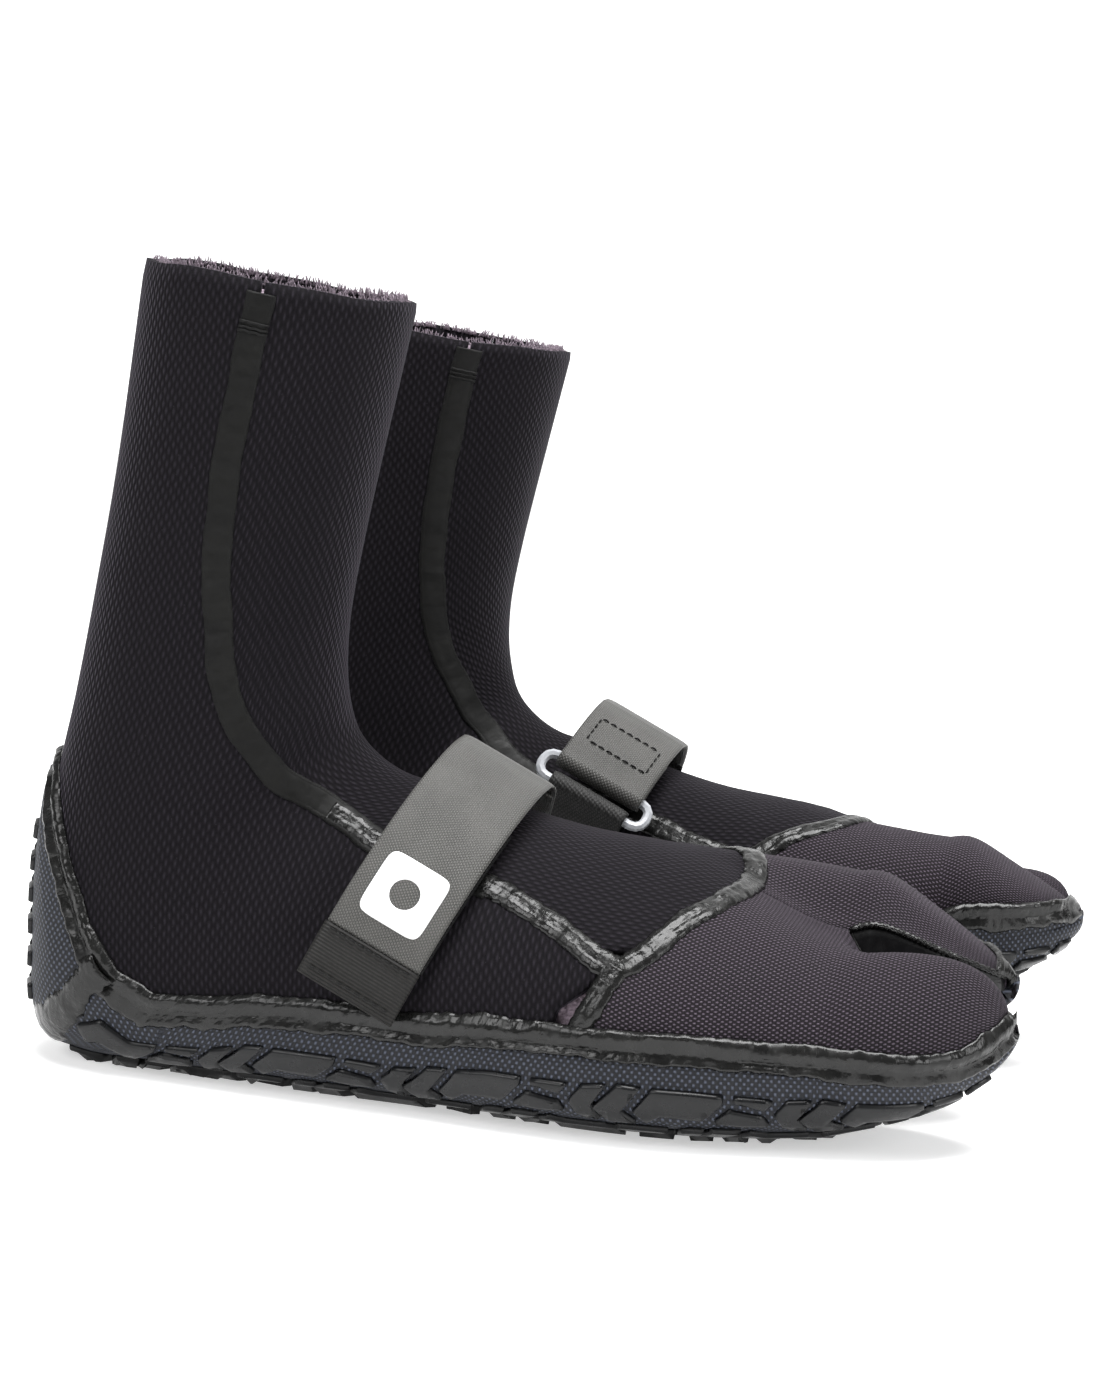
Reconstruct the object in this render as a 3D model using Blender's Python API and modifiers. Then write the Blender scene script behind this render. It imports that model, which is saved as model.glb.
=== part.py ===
"""Pair of split-toe neoprene boots with a hook-and-loop instep strap each.

Lengths are in millimetres until a mesh is written, which is in metres. Every boot is drawn as a
right boot: x runs from heel to toe, y towards the inner side and z up from the floor. The left boot
is its mirror image, set a little further forward with a slightly sunk shaft.

The skin of a boot is one surface P(s, u): s counts the stations from the toe split (0) to the
collar, and falls to -1 at the tips of the two toe lobes; u runs round the foot, 0 at the bottom or
back, .25 on the outer side, .5 on top or in front and .75 on the inner side. Each panel, tape and
sole is a patch of that surface between two distances from it.
"""
import math

import bmesh
import bpy
import numpy as np

MM = 0.001
HALF_SPACING = 60.0
LEFT_LEAD = 19.0
LEFT_SINK = 13.0
SINK_FROM, SINK_TO = 100.0, 216.0
# The left toes lie higher and further back: where it starts, run, rise, drawn back
LEFT_TOE_FROM, LEFT_TOE_RUN, LEFT_TOE_UP, LEFT_TOE_BACK = 200.0, 60.0, 5.5, 4.5
# Its four smaller toes lie closer together: run, share, level they close in on, drawn back
PINCH_RUN, PINCH, PINCH_LEVEL, PINCH_BACK = 25.0, .28, 36.0, 6.0
# The soles are this much deeper than the skin allows for, over the lowest part of a boot
DEEPER, DEEPER_OVER = 3.5, 16.0
CENTRE_X = 134.110

# Stations: front point x, z; back point x, z; half width; middle y low, middle y high;
# level of the widest part; roundness power below it and above it.
STATIONS = np.array([
    (222, 64, 222, 5.0, 43, 1, 20, .40, 3.2, 2.3),
    (205, 66, 205, 4.4, 47, 1, 17, .38, 3.6, 2.3),
    (187, 67.5, 185, 4.4, 49.5, 0, 14, .36, 4.0, 2.2),
    (167, 69.5, 163, 4.4, 48.5, -2, 11, .36, 4.0, 2.1),
    (149, 71.5, 138, 4.4, 45, -3, 9, .36, 3.8, 2.1),
    (133, 75, 112, 4.4, 41, -3, 7, .36, 3.6, 2.1),
    (118, 79, 85, 4.4, 38, -3, 5, .36, 3.4, 2.1),
    (105, 81.5, 57, 4.4, 36.5, -2, 4, .36, 3.2, 2.1),
    (94, 84, 30, 4.4, 36, -1, 3, .38, 3.0, 2.1),
    (85.5, 89, 6, 4.5, 35.5, 0, 2, .42, 2.6, 2.1),
    (79.5, 96, -6.2, 9, 35, 0, 1, .46, 2.4, 2.1),
    (76.5, 106, -8.7, 28, 34.5, 0, 0, .5, 2.2, 2.1),
    (75.5, 117, -9, 50, 34, 0, 0, .5, 2.1, 2.1),
    (76, 130, -6.5, 75, 33.5, 0, 0, .5, 2.1, 2.1),
    (78.5, 148, -1.5, 101, 33.5, 0, 0, .5, 2.1, 2.1),
    (82, 168, 3.5, 132, 34, 0, 0, .5, 2.1, 2.1),
    (86.5, 192, 9, 170, 35, 0, 0, .5, 2.1, 2.1),
    (91, 216, 15, 226, 36.5, 0, 0, .5, 2.1, 2.1),
])
COLLAR = len(STATIONS) - 1
CROTCH_X, CROTCH_Y = 222.0, 5.0
# The top falls towards the split: depth, width on the outer and inner side, run in stations
DENT_DEPTH, DENT_WIDTH, DENT_RUN = 12.0, (26.0, 9.0), 2.6
LOBE_LENGTH = (47.0, 44.0)
LOBE_SHIFT = (8.0, -2.0)
# How the middle of the outer lobe climbs, how it thins, and how its edge dips beside the split
OUTER_CLIMB, OUTER_RATE, OUTER_TAPER = 4.0, 3.5, 2.0
SPLIT_DIP, DIP_FROM, DIP_WIDTH, DIP_EASE = 11.0, .18, 14.0, .4
# How the middle of the big toe climbs, and how it thins
INNER_CLIMB, INNER_RATE, INNER_THIN, INNER_EASE, INNER_TAPER = 8.0, 9.0, 1.45, .1, 5
LOBE_EDGE_Y = (-42.0, 44.0)
LOBE_PART, PART_OVER, PART_WIDTH = 1.0, .1, 6.0
NARROW, NARROW_POWER = 2.4, .6
TIP = -.97
TIP_CLOSED = -.86
TOE_ROWS = [-.05, -.12, -.3, -.48, -.64, -.77, TIP_CLOSED, -.92, TIP]

UPPER = 3.5
GUSSET = 2.0
# Play between the gusset and the lobes: everywhere, under the big toe, over the outer lobe
GUSSET_PLAY, STEEPER, DIPPED = 0.5, 3.4, 4.5
LINING = 0.8
GAP = 0.3
SEAM_LIFT = 0.6
LINING_GAP = 1.3
SOLE_GAP = 1.1
SOLE = 4.4
SOLE_EDGE = 2.2
FLAT_BELOW = 1.2
BAND = 1.2
BAND_LIFT = 1.1
TAPE = 0.6
TAPE_WIDTH = 8.0
SEAM_U, SEAM_S = .0024, .09
PATCH = 0.8

# Top edge of the rubber band round the sole and top edge of the sole itself, as x, z
BAND_LINE = [(-4.4, 87), (-1, 78), (3, 66), (8, 54), (15, 40), (24, 28), (35, 22.5), (50, 23.5),
             (70, 26), (92, 26.5), (114, 26), (136, 28.5), (190, 29), (217, 28), (240, 27),
             (250, 26.5), (258, 28), (264, 31), (268, 35), (272, 41)]
SOLE_LINE = [(-5.9, 79), (-4, 70), (-.5, 60), (4, 49), (10, 35.5), (18, 22.5), (31, 15), (50, 16),
             (70, 18.5), (92, 19), (114, 18.5), (136, 21), (190, 21.5), (217, 20.5), (240, 20),
             (250, 20), (258, 21), (264, 24), (268, 28), (272, 34)]
INNER_FROM = 185
INNER_BAND_LINE = [(196, 31), (206, 36), (217, 43), (229, 47), (240, 47), (250, 45.5), (258, 44),
                   (264, 42)]
INNER_SOLE_LINE = [(196, 23.5), (206, 29), (217, 36.5), (229, 40.5), (240, 40.5), (250, 39.5),
                   (258, 38.5), (264, 37.5)]
BAND_TOP_S, SOLE_TOP_S = 13.45, 13.1

# Seams on the outer and inner side, from the collar down to the strap and on to the toe, as x, z
OUTER_SEAM = [(59, 221), (54, 193), (50, 169), (48, 144), (49, 122), (51, 109), (57, 95), (65, 85),
              (75, 79), (86, 73), (96, 68), (113, 64), (131, 59), (149, 52)]
INNER_SEAM = [(68, 220), (64, 198), (60, 171), (58, 144), (59, 122), (65, 102), (75, 86), (85, 76),
              (96, 71), (113, 67), (129, 63), (145, 58)]
# The same seams round the front of the instep panel, as s, u
OUTER_FRONT = [(2.9, .312), (2.25, .366), (1.8, .41), (1.6, .455)]
INNER_FRONT = [(3.2, .64), (2.6, .59), (1.95, .54), (1.66, .495)]
APEX = (1.56, .475)
TOE_SEAM_SIDE_S, TOE_SEAM_BOTTOM_S = 3.5, 3.7

# The strap is a straight extrusion along a line that falls towards the toe
STRAP_TILT = math.radians(26.0)
STRAP_ALONG = (56.5, 85.5)
STRAP_CENTRE = 71.0
WEBBING = 1.3
# Strap centre lines across the foot, as y, h
FLAP_PATH = [(7.8, 134), (-2, 133), (-12, 129.4), (-21.5, 123.6), (-30.5, 115.3), (-38, 105),
             (-43.4, 94), (-46.2, 83.4)]
TAB_PATH = [(-46.3, 83), (-47.4, 75), (-47.6, 67.5)]
MEDIAL_PATH = [(8.2, 134), (15, 132.7), (22, 130), (28.5, 126.2), (34, 121.6)]
CREST = (8.0, 134.8)
UPPER_BAR = (35.6, 117.8)
LOWER_BAR = (40.1, 111.2)
BAR_R = 1.5
BAR_PLAY = 0.4
RING_HALF = 18.3
ELASTIC_END = (39.5, 100.5)
ELASTIC_ALONG = (58.0, 84.0)

COLOURS = {
    "neoprene": (.016, .014, .018), "toe_mesh": (.045, .038, .048), "gusset": (.012, .011, .013),
    "lining": (.10, .085, .105), "sole_rubber": (.022, .024, .030),
    "seam_rubber": (.05, .05, .052), "tape": (.03, .03, .031), "webbing": (.095, .093, .088),
    "hook": (.02, .02, .021), "ribbon": (.022, .021, .021), "elastic": (.024, .024, .025),
    "ring": (.42, .43, .44), "thread": (.01, .01, .01),
}
ROUGHNESS = {"seam_rubber": .3, "tape": .5, "ring": .35, "sole_rubber": .6}


# ---- the skin surface -------------------------------------------------------------------------

def spline(table, at):
    """Catmull-Rom through the rows of a table, at fractional row numbers."""
    last = len(table) - 1
    at = np.clip(at, 0, last)
    i = np.minimum(at.astype(int), last - 1)
    t = (at - i)[..., None]
    rows = np.vstack([2 * table[0] - table[1], table, 2 * table[-1] - table[-2]])
    a, b, c, d = rows[i], rows[i + 1], rows[i + 2], rows[i + 3]
    return b + .5 * t * (c - a + t * (2 * a - 5 * b + 4 * c - d + t * (3 * (b - c) + d - a)))


def tube(s, u):
    """Skin of the foot and shaft behind the toe split."""
    fx, fz, bx, bz, half, y_low, y_high, level, p_low, p_high = np.moveaxis(spline(STATIONS, s), -1, 0)
    sine, cosine = np.sin(2 * np.pi * u), np.cos(2 * np.pi * u)
    low = cosine > 0
    power = np.where(low, p_low, p_high)
    reach = np.abs(cosine) ** (2 / power)
    rise = np.where(low, level * (1 - reach), level + (1 - level) * reach)
    skew = (y_high - y_low) * np.where(low, 0, reach) ** 1.5
    y = y_low + skew - np.sign(sine) * np.abs(sine) ** (2 / power) * half
    near = np.clip(1 - s / DENT_RUN, 0, 1)
    width = np.where(y < CROTCH_Y, *DENT_WIDTH)
    dent = DENT_DEPTH * near ** 2 * (3 - 2 * near) * np.exp(-((y - CROTCH_Y) / width) ** 2)
    z = bz + (fz - bz) * rise - np.where(low, 0, dent)
    return np.stack([bx + (fx - bx) * rise, y, z], -1)


def crotch_u(low, high):
    """Where the section at the split meets the plane between the two lobes."""
    u = np.linspace(low, high, 2001)
    y = tube(np.zeros_like(u), u)[:, 1]
    return u[np.argmin(np.abs(y - CROTCH_Y))]


U_BOTTOM = crotch_u(-.1, .1)
U_TOP = crotch_u(.42, .58)
CROTCH_Z = tube(np.zeros(2), np.array([U_BOTTOM, U_TOP]))[:, 2]


def lobe(side, t, u):
    """Skin of one toe lobe: side 0 for the four toes, 1 for the big toe; t is 1 at the tip."""
    root = tube(np.zeros_like(t), u)
    sign = (-1, 1)[side]
    y_mid = (LOBE_EDGE_Y[side] + CROTCH_Y) / 2
    z_mid = CROTCH_Z.mean()
    share = np.clip((root[..., 2] - CROTCH_Z[0]) / (CROTCH_Z[1] - CROTCH_Z[0]), 0, 1)
    from_split = np.abs(root[..., 1] - CROTCH_Y)
    if side == 0:
        flat = (1 - t ** (OUTER_TAPER + 2 * share)) ** .5
        climb = OUTER_CLIMB * (1 - np.exp(-OUTER_RATE * t))
        past = np.clip((t - DIP_FROM) / (1 - DIP_FROM), 0, 1)
        bump = np.minimum(t / DIP_FROM, 1) * (1 - DIP_EASE * past ** 2) * flat ** .5
        climb = climb - SPLIT_DIP * bump * share ** 2 * np.exp(-(from_split / DIP_WIDTH) ** 2)
    else:
        flat = np.exp(-INNER_THIN * t ** 2 / (t + INNER_EASE)) * (1 - t ** INNER_TAPER) ** .5
        climb = INNER_CLIMB * (1 - np.exp(-INNER_RATE * t ** 2 / (t + INNER_EASE)))
    parted = LOBE_PART * np.clip(t / PART_OVER, 0, 1) * np.exp(-from_split / PART_WIDTH)
    narrow = (1 - t ** NARROW) ** NARROW_POWER
    y = y_mid + LOBE_SHIFT[side] * t ** 2 + (root[..., 1] - y_mid) * narrow + sign * parted
    z = z_mid + climb + (root[..., 2] - z_mid) * flat
    return np.stack([CROTCH_X + LOBE_LENGTH[side] * t, y, z], -1)


def skin(s, u, side=None):
    """The whole skin. side says which lobe a point on the crotch line belongs to."""
    s, u = np.broadcast_arrays(np.asarray(s, float), np.asarray(u, float))
    points = tube(np.maximum(s, 0), u)
    turn = np.mod(u - U_BOTTOM, 1)
    for k in (0, 1):
        mine = (turn > U_TOP - U_BOTTOM) == bool(k) if side is None else np.full(s.shape, side == k)
        mine = mine & (s < 0)
        if mine.any():
            points[mine] = lobe(k, -s[mine], u[mine])
    return points


def slopes(s, u, side=None):
    ds, du = .03, .003
    back, fore = np.maximum(s - ds, -.995), np.minimum(s + ds, COLLAR)
    along = (skin(fore, u, side) - skin(back, u, side)) / (fore - back)[..., None]
    low, high = u - du, u + du
    if side is not None:
        ends = ((U_BOTTOM, U_TOP), (U_TOP, 1 + U_BOTTOM))[side]
        low = np.where(s < .1, np.maximum(low, ends[0]), low)
        high = np.where(s < .1, np.minimum(high, ends[1]), high)
    around = (skin(s, high, side) - skin(s, low, side)) / (high - low)[..., None]
    return along, around


def normal(s, u, side=None):
    along, around = slopes(s, u, side)
    n = np.cross(around, along)
    return n / np.linalg.norm(n, axis=-1, keepdims=True)


def off(s, u, distance, side=None):
    """Point at a distance outwards from the skin."""
    s, u = np.broadcast_arrays(np.asarray(s, float), np.asarray(u, float))
    distance = np.asarray(distance, float)[..., None]
    return skin(s, u, side) + distance * normal(s, u, side)


def locate(x, z, inner):
    """s, u of the point of the outer or inner side seen at x, z from the side."""
    at = np.linspace(0, COLLAR, 1701)
    rows = spline(STATIONS, at)
    front, back = rows[:, 0:2], rows[:, 2:4]
    d, e = front - back, np.array([x, z]) - back
    miss = np.abs(d[:, 0] * e[:, 1] - d[:, 1] * e[:, 0]) / np.linalg.norm(d, axis=1)
    rise = (d * e).sum(1) / (d * d).sum(1)
    miss[(rise < -.02) | (rise > 1.02)] = np.inf
    k = np.argmin(miss)
    level, p_low, p_high = rows[k, 7:10]
    r = np.clip(rise[k], 0, 1)
    if r < level:
        cosine = (1 - r / level) ** (p_low / 2)
    else:
        cosine = -((r - level) / (1 - level)) ** (p_high / 2)
    u = math.acos(cosine) / (2 * math.pi)
    return at[k], (1 - u if inner else u)


def edge(s, line, inner):
    """u where row s of the skin climbs past a line x, z on one side."""
    if inner:
        raised = INNER_BAND_LINE if line is BAND_LINE else INNER_SOLE_LINE
        line = [spot for spot in line if spot[0] < INNER_FROM] + raised
    xs, zs = np.array(line).T
    ends = (U_BOTTOM, U_TOP) if not inner else (1 + U_BOTTOM, U_TOP)
    if s >= 0:
        ends = (0, .5) if not inner else (1, .5)
    u = np.linspace(ends[0], ends[1], 241)
    p = skin(np.full_like(u, s), u, int(inner))
    over = p[:, 2] - np.interp(p[:, 0], xs, zs)
    hit = np.nonzero((over[1:] >= 0) & (over[:-1] < 0))[0]
    if not len(hit):
        return ends[1] if over[0] < 0 else ends[0]
    k = hit[0]
    return u[k] + (u[k + 1] - u[k]) * over[k] / (over[k] - over[k + 1])


# ---- seams ------------------------------------------------------------------------------------

OUTER_EDGE = np.array(OUTER_FRONT[::-1] + [locate(x, z, False) for x, z in OUTER_SEAM[::-1]])
INNER_EDGE = np.array(INNER_FRONT[::-1] + [locate(x, z, True) for x, z in INNER_SEAM[::-1]])


def outer_u(s):
    return np.interp(s, OUTER_EDGE[:, 0], OUTER_EDGE[:, 1])


def inner_u(s):
    return np.interp(s, INNER_EDGE[:, 0], INNER_EDGE[:, 1])


def toe_seam_s(u):
    """Back edge of the toe cap as s for each u round the foot."""
    points = [(0, TOE_SEAM_BOTTOM_S), (.25, TOE_SEAM_SIDE_S)] + [(v, s) for s, v in OUTER_FRONT]
    points += [(APEX[1], APEX[0])] + [(v, s) for s, v in INNER_FRONT[::-1]]
    points += [(.75, TOE_SEAM_SIDE_S), (1, TOE_SEAM_BOTTOM_S)]
    us, ss = np.array(points).T
    return np.interp(np.mod(u, 1), us, ss)


# ---- meshes -----------------------------------------------------------------------------------

MATERIALS = {}


def material(name):
    if name not in MATERIALS:
        made = bpy.data.materials.new(name)
        made.use_nodes = True
        shader = made.node_tree.nodes["Principled BSDF"]
        shader.inputs["Base Color"].default_value = (*COLOURS[name], 1)
        shader.inputs["Roughness"].default_value = ROUGHNESS.get(name, .85)
        shader.inputs["Metallic"].default_value = 0
        MATERIALS[name] = made
    return MATERIALS[name]


def settle_left(p):
    """How the left boot's toes lie differently, in boot coordinates."""
    ahead = np.clip((p[..., 0] - LEFT_TOE_FROM) / LEFT_TOE_RUN, 0, None)
    past_split = np.clip((p[..., 0] - CROTCH_X) / PINCH_RUN, 0, 1)
    outer = np.clip(CROTCH_Y + .5 - p[..., 1], 0, 1)
    pinch = outer * past_split ** 2 * (3 - 2 * past_split)
    p[..., 2] += (PINCH_LEVEL - p[..., 2]) * PINCH * pinch + LEFT_TOE_UP * ahead ** 2
    p[..., 0] -= LEFT_TOE_BACK * ahead ** 2 + PINCH_BACK * pinch * past_split


def place(points, left):
    """Boot coordinates to the pair's frame, in millimetres."""
    p = np.array(points, float)
    deeper = DEEPER * np.clip(p[..., 2] / DEEPER_OVER, 0, 1)
    if left:
        settle_left(p)
        sunk = np.clip((p[..., 2] - SINK_FROM) / (SINK_TO - SINK_FROM), 0, None)
        p[..., 2] -= LEFT_SINK * sunk
        p[..., 0] += LEFT_LEAD
        p[..., 1] = HALF_SPACING - p[..., 1]
    else:
        p[..., 1] -= HALF_SPACING
    p[..., 0] -= CENTRE_X
    p[..., 2] += deeper
    return p


def build(boot, name, points, faces, colour, origin=None):
    """One object from points in boot coordinates."""
    left = boot == "left"
    base = np.zeros(3) if origin is None else place(origin, left)
    points = (place(points, left) - base) * MM
    mesh = bpy.data.meshes.new(f"{boot}_{name}")
    work = bmesh.new()
    verts = [work.verts.new(p) for p in points]
    for face in faces:
        work.faces.new([verts[i] for i in face])
    bmesh.ops.recalc_face_normals(work, faces=work.faces)
    bmesh.ops.triangulate(work, faces=work.faces)
    for face in work.faces:
        face.smooth = True
    work.to_mesh(mesh)
    work.free()
    mesh.materials.append(material(colour))
    made = bpy.data.objects.new(f"{boot}_{name}", mesh)
    made.location = base * MM
    bpy.data.collections["neoprene_boots"].objects.link(made)
    return made


def thicken(outer, inner, faces):
    """Closed shell between two copies of one open patch."""
    count = len(outer)
    used = {}
    for face in faces:
        for a, b in zip(face, face[1:] + face[:1]):
            used[(a, b)] = used.get((a, b), 0) + 1
    rims = [(a, b) for a, b in used if (b, a) not in used]
    made = list(faces) + [[i + count for i in face[::-1]] for face in faces]
    made += [[b, a, a + count, b + count] for a, b in rims]
    return np.vstack([outer, inner]), made


def quads(rows, cols, closed=False):
    span = cols if closed else cols - 1
    return [[i * cols + j, i * cols + (j + 1) % cols, (i + 1) * cols + (j + 1) % cols,
             (i + 1) * cols + j] for i in range(rows - 1) for j in range(span)]


def patch(boot, name, s, u, near, far, colour, closed=False):
    """Shell over a grid of s, u between two distances from the skin."""
    rows, cols = s.shape
    outer = off(s.ravel(), u.ravel(), np.broadcast_to(far, s.shape).ravel())
    inner = off(s.ravel(), u.ravel(), np.broadcast_to(near, s.shape).ravel())
    points, faces = thicken(outer, inner, quads(rows, cols, closed))
    return build(boot, name, points, faces, colour)


def ribbon(boot, name, curve, width, near, thick, colour, steps=40, span=(0, 1)):
    """Strip of even width along a curve of s, u points on the skin."""
    curve = np.array(curve, float)
    p = off(curve[:, 0], curve[:, 1], 0)
    run = np.concatenate([[0], np.cumsum(np.linalg.norm(np.diff(p, axis=0), axis=1))])
    where = np.linspace(span[0] * run[-1], span[1] * run[-1], steps)
    at = np.interp(where, run, np.arange(len(curve)))
    s, u = spline(curve, at).T
    along, around = slopes(s, u)
    heading = np.gradient(skin(s, u), axis=0)
    across = np.cross(normal(s, u), heading)
    across *= width / 2 / np.linalg.norm(across, axis=1, keepdims=True)
    grids = []
    for k in (-1, 0, 1):
        step = [np.linalg.lstsq(np.stack([a, b], 1), k * c, rcond=None)[0]
                for a, b, c in zip(along, around, across)]
        step = np.array(step)
        grids.append((np.clip(s + step[:, 0], TIP, COLLAR), u + step[:, 1]))
    s = np.stack([g[0] for g in grids], 1)
    u = np.stack([g[1] for g in grids], 1)
    return patch(boot, name, s, u, near, near + thick, colour)


# ---- panels -----------------------------------------------------------------------------------

def instep_panel(boot):
    s = np.concatenate([[1.66, 1.8, 2.0, 2.3, 2.7, 3.2], np.arange(4, COLLAR + 1)])
    v = np.linspace(0, 1, 9)
    low = outer_u(s) + SEAM_U
    high = inner_u(s) - SEAM_U
    u = low[:, None] + (high - low)[:, None] * v
    patch(boot, "instep_panel", np.broadcast_to(s[:, None], u.shape), u, -UPPER, 0, "neoprene")


def back_panel(boot):
    v = np.linspace(0, 1, 21)
    start_u = inner_u(3.2) + (1 + outer_u(3.0) - inner_u(3.2)) * v
    start = toe_seam_s(start_u) + SEAM_S
    t = np.linspace(0, 1, 14)[:, None]
    s = start + (COLLAR - start) * t
    low = inner_u(s) + SEAM_U
    high = 1 + outer_u(s) - SEAM_U
    u = low + (high - low) * v
    patch(boot, "back_panel", s, u, -UPPER, 0, "neoprene")


def lobed(rows, columns, start):
    """Patch that forks from the foot into both lobes.

    rows: shares of start, the s of the first row at each column.
    columns: u at each column of the outer lobe, then of the inner lobe, both ends included.
    """
    outer_cols, inner_cols = columns
    keys, index, faces = [], {}, []

    def vertex(s, u, side, wall):
        key = (round(float(s), 5), round(float(u) % 1, 5), side if s < 0 else 2)
        if key not in index:
            index[key] = len(keys)
            keys.append((s, u, side, wall))
        return index[key]

    tips = []
    for side, cols in ((0, outer_cols), (1, inner_cols)):
        grid = []
        for k in rows:
            grid.append([vertex(k * start(u), u, side, 0) for u in cols])
        for s in TOE_ROWS:
            shut = s <= TIP_CLOSED
            row = []
            for j, u in enumerate(cols):
                at_wall = (j in (0, len(cols) - 1)) and shut
                row.append(vertex(s, u, side, (1, -1)[side] if at_wall else 0))
            grid.append(row)
        for a, b in zip(grid, grid[1:]):
            for j in range(len(cols) - 1):
                face = [a[j], a[j + 1], b[j + 1], b[j]]
                face = [f for i, f in enumerate(face) if f != face[i - 1]]
                if len(face) > 2:
                    faces.append(face)
        for s, a, b in zip(TOE_ROWS, grid[len(rows):], grid[len(rows) + 1:]):
            if s <= TIP_CLOSED:
                faces.append([a[-1], a[0], b[0], b[-1]])
        tips.append(grid[-1])
    faces += [list(tip) for tip in tips]
    return keys, faces


def lobed_points(keys, distance):
    s, u = np.array([k[0] for k in keys]), np.array([k[1] for k in keys])
    side = np.array([k[2] for k in keys])
    points = np.zeros((len(keys), 3))
    for k in (0, 1):
        mine = side == k
        n = normal(s[mine], u[mine], k)
        wall = np.array([key[3] for key in keys])[mine]
        n[:, 1] += wall
        n /= np.linalg.norm(n, axis=1, keepdims=True)
        reach = np.asarray(distance)[mine] if np.ndim(distance) else distance
        points[mine] = skin(s[mine], u[mine], k) + n * np.reshape(reach, (-1, 1))
    return points


def toe_cap(boot):
    columns = (np.linspace(U_BOTTOM, U_TOP, 17), np.linspace(U_TOP, 1 + U_BOTTOM, 16))
    keys, faces = lobed([1, .8, .6, .4, .2, 0], columns, lambda u: toe_seam_s(u) - SEAM_S)
    points, faces = thicken(lobed_points(keys, 0), lobed_points(keys, -UPPER + .3), faces)
    build(boot, "toe_cap", points, faces, "toe_mesh")


def toe_gusset(boot):
    """Smooth strip down both inner walls of the lobes and round the crotch between them."""
    q = np.array([-.84, -.7, -.5, -.3, -.12, -.05, .05, .12, .3, .5, .7, .84])
    v = np.linspace(0, 1, 5)
    outer = []
    for k in q:
        side, t = int(k > 0), np.array([abs(k)])
        low, high = (lobe(side, t, np.array([u]))[0] for u in (U_BOTTOM, U_TOP))
        under = UPPER + GUSSET_PLAY + side * STEEPER * (1 - abs(k))
        over = UPPER + GUSSET_PLAY + (1 - side) * DIPPED
        share = (under + (high[2] - low[2] - under - over) * v[:, None]) / (high[2] - low[2])
        outer.append(low + (high - low) * share)
    outer = np.array(outer)
    along = np.gradient(outer, axis=0)
    up = np.gradient(outer, axis=1)
    n = np.cross(along, up)
    n /= np.linalg.norm(n, axis=-1, keepdims=True)
    inner = outer - n * GUSSET
    points, faces = thicken(outer.reshape(-1, 3), inner.reshape(-1, 3), quads(len(q), len(v)))
    build(boot, "toe_gusset", points, faces, "gusset")


def lining(boot):
    s = np.array([1, 2, 3, 5, 7, 8, 9, 10, 11, 12, 13, 15, COLLAR], float)
    u = np.linspace(0, 1, 18, endpoint=False)
    s, u = np.meshgrid(s, u, indexing="ij")
    far = -UPPER - LINING_GAP
    patch(boot, "lining", s, u, far - LINING, far, "lining", closed=True)


# ---- sole -------------------------------------------------------------------------------------

def outsole(boot):
    heel = [SOLE_TOP_S, 12.6, 12, 11.4, 10.9, 10.5, 10.25, 10, 9.75, 9.5, 9.2, 8.8, 8.2, 7.5, 6.5,
            5.5, 4.5, 3.5, 2.5, 1.6, .8, 0]
    shares = [0, .18, .35, .52, .64, .74, .82, .91, 1]
    keys, faces, index = [], [], {}
    for side in (0, 1):
        grid = []
        for s in heel + TOE_ROWS:
            bottom = U_BOTTOM + side
            reach = edge(s, SOLE_LINE, bool(side))
            row = []
            for k in shares:
                u = bottom + (reach - bottom) * k
                shared = s >= 0 and k == 0
                at_wall = s <= TIP_CLOSED and (k == 0 or abs(u - U_TOP) < 1e-6)
                key = (s, k, 2 if shared else side)
                if key not in index:
                    index[key] = len(keys)
                    keys.append((s, u, side, (1, -1)[side] * at_wall, k))
                row.append(index[key])
            grid.append(row)
        for a, b in zip(grid, grid[1:]):
            faces += [[a[j], a[j + 1], b[j + 1], b[j]][::1 - 2 * side] for j in range(len(a) - 1)]
        faces.append(grid[-1][::1 - 2 * side])
    k = np.array([key[4] for key in keys])
    outer = lobed_points(keys, SOLE - (SOLE - SOLE_EDGE) * np.clip((k - .8) / .2, 0, 1))
    outer[outer[:, 2] < FLAT_BELOW, 2] = 0
    points, faces = thicken(outer, lobed_points(keys, SOLE_GAP), faces)
    build(boot, "outsole", points, faces, "sole_rubber")


def sole_band(boot):
    """Rubber band that seals the sole's top edge, from tip to tip round the heel."""
    top = [13.35, 13.1, 12.8, 12.3, 11.7]
    low = [SOLE_TOP_S + .04, 12.85, 12.6, 12.2, 11.7]
    rest = [11.0, 10.4, 9.8, 9.2, 8.5, 7.5, 6.5, 5.5, 4.5, 3.5, 2.5, 1.6, .8, 0] + TOE_ROWS[:-2]
    pairs = list(zip(top, low)) + [(s, s) for s in rest]
    grid = []
    for side, run in ((0, pairs[::-1]), (1, pairs)):
        for s_top, s_low in run:
            u_top = edge(s_top, BAND_LINE, bool(side))
            u_low = edge(min(s_low, SOLE_TOP_S), SOLE_LINE, bool(side)) + (.004, -.004)[side]
            grid.append([(s_low + (s_top - s_low) * k, u_low + (u_top - u_low) * k, side)
                         for k in (0, 1)])
        if side == 0:
            grid.append([(SOLE_TOP_S + .04 + (BAND_TOP_S - SOLE_TOP_S - .04) * k, 0, 0)
                         for k in (0, 1)])
    keys = [(s, u, side, 0) for row in grid for s, u, side in row]
    points, faces = thicken(lobed_points(keys, BAND_LIFT + BAND), lobed_points(keys, BAND_LIFT),
                            quads(len(grid), 2))
    build(boot, "sole_band", points, faces, "seam_rubber")


# ---- tapes and seams --------------------------------------------------------------------------

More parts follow.
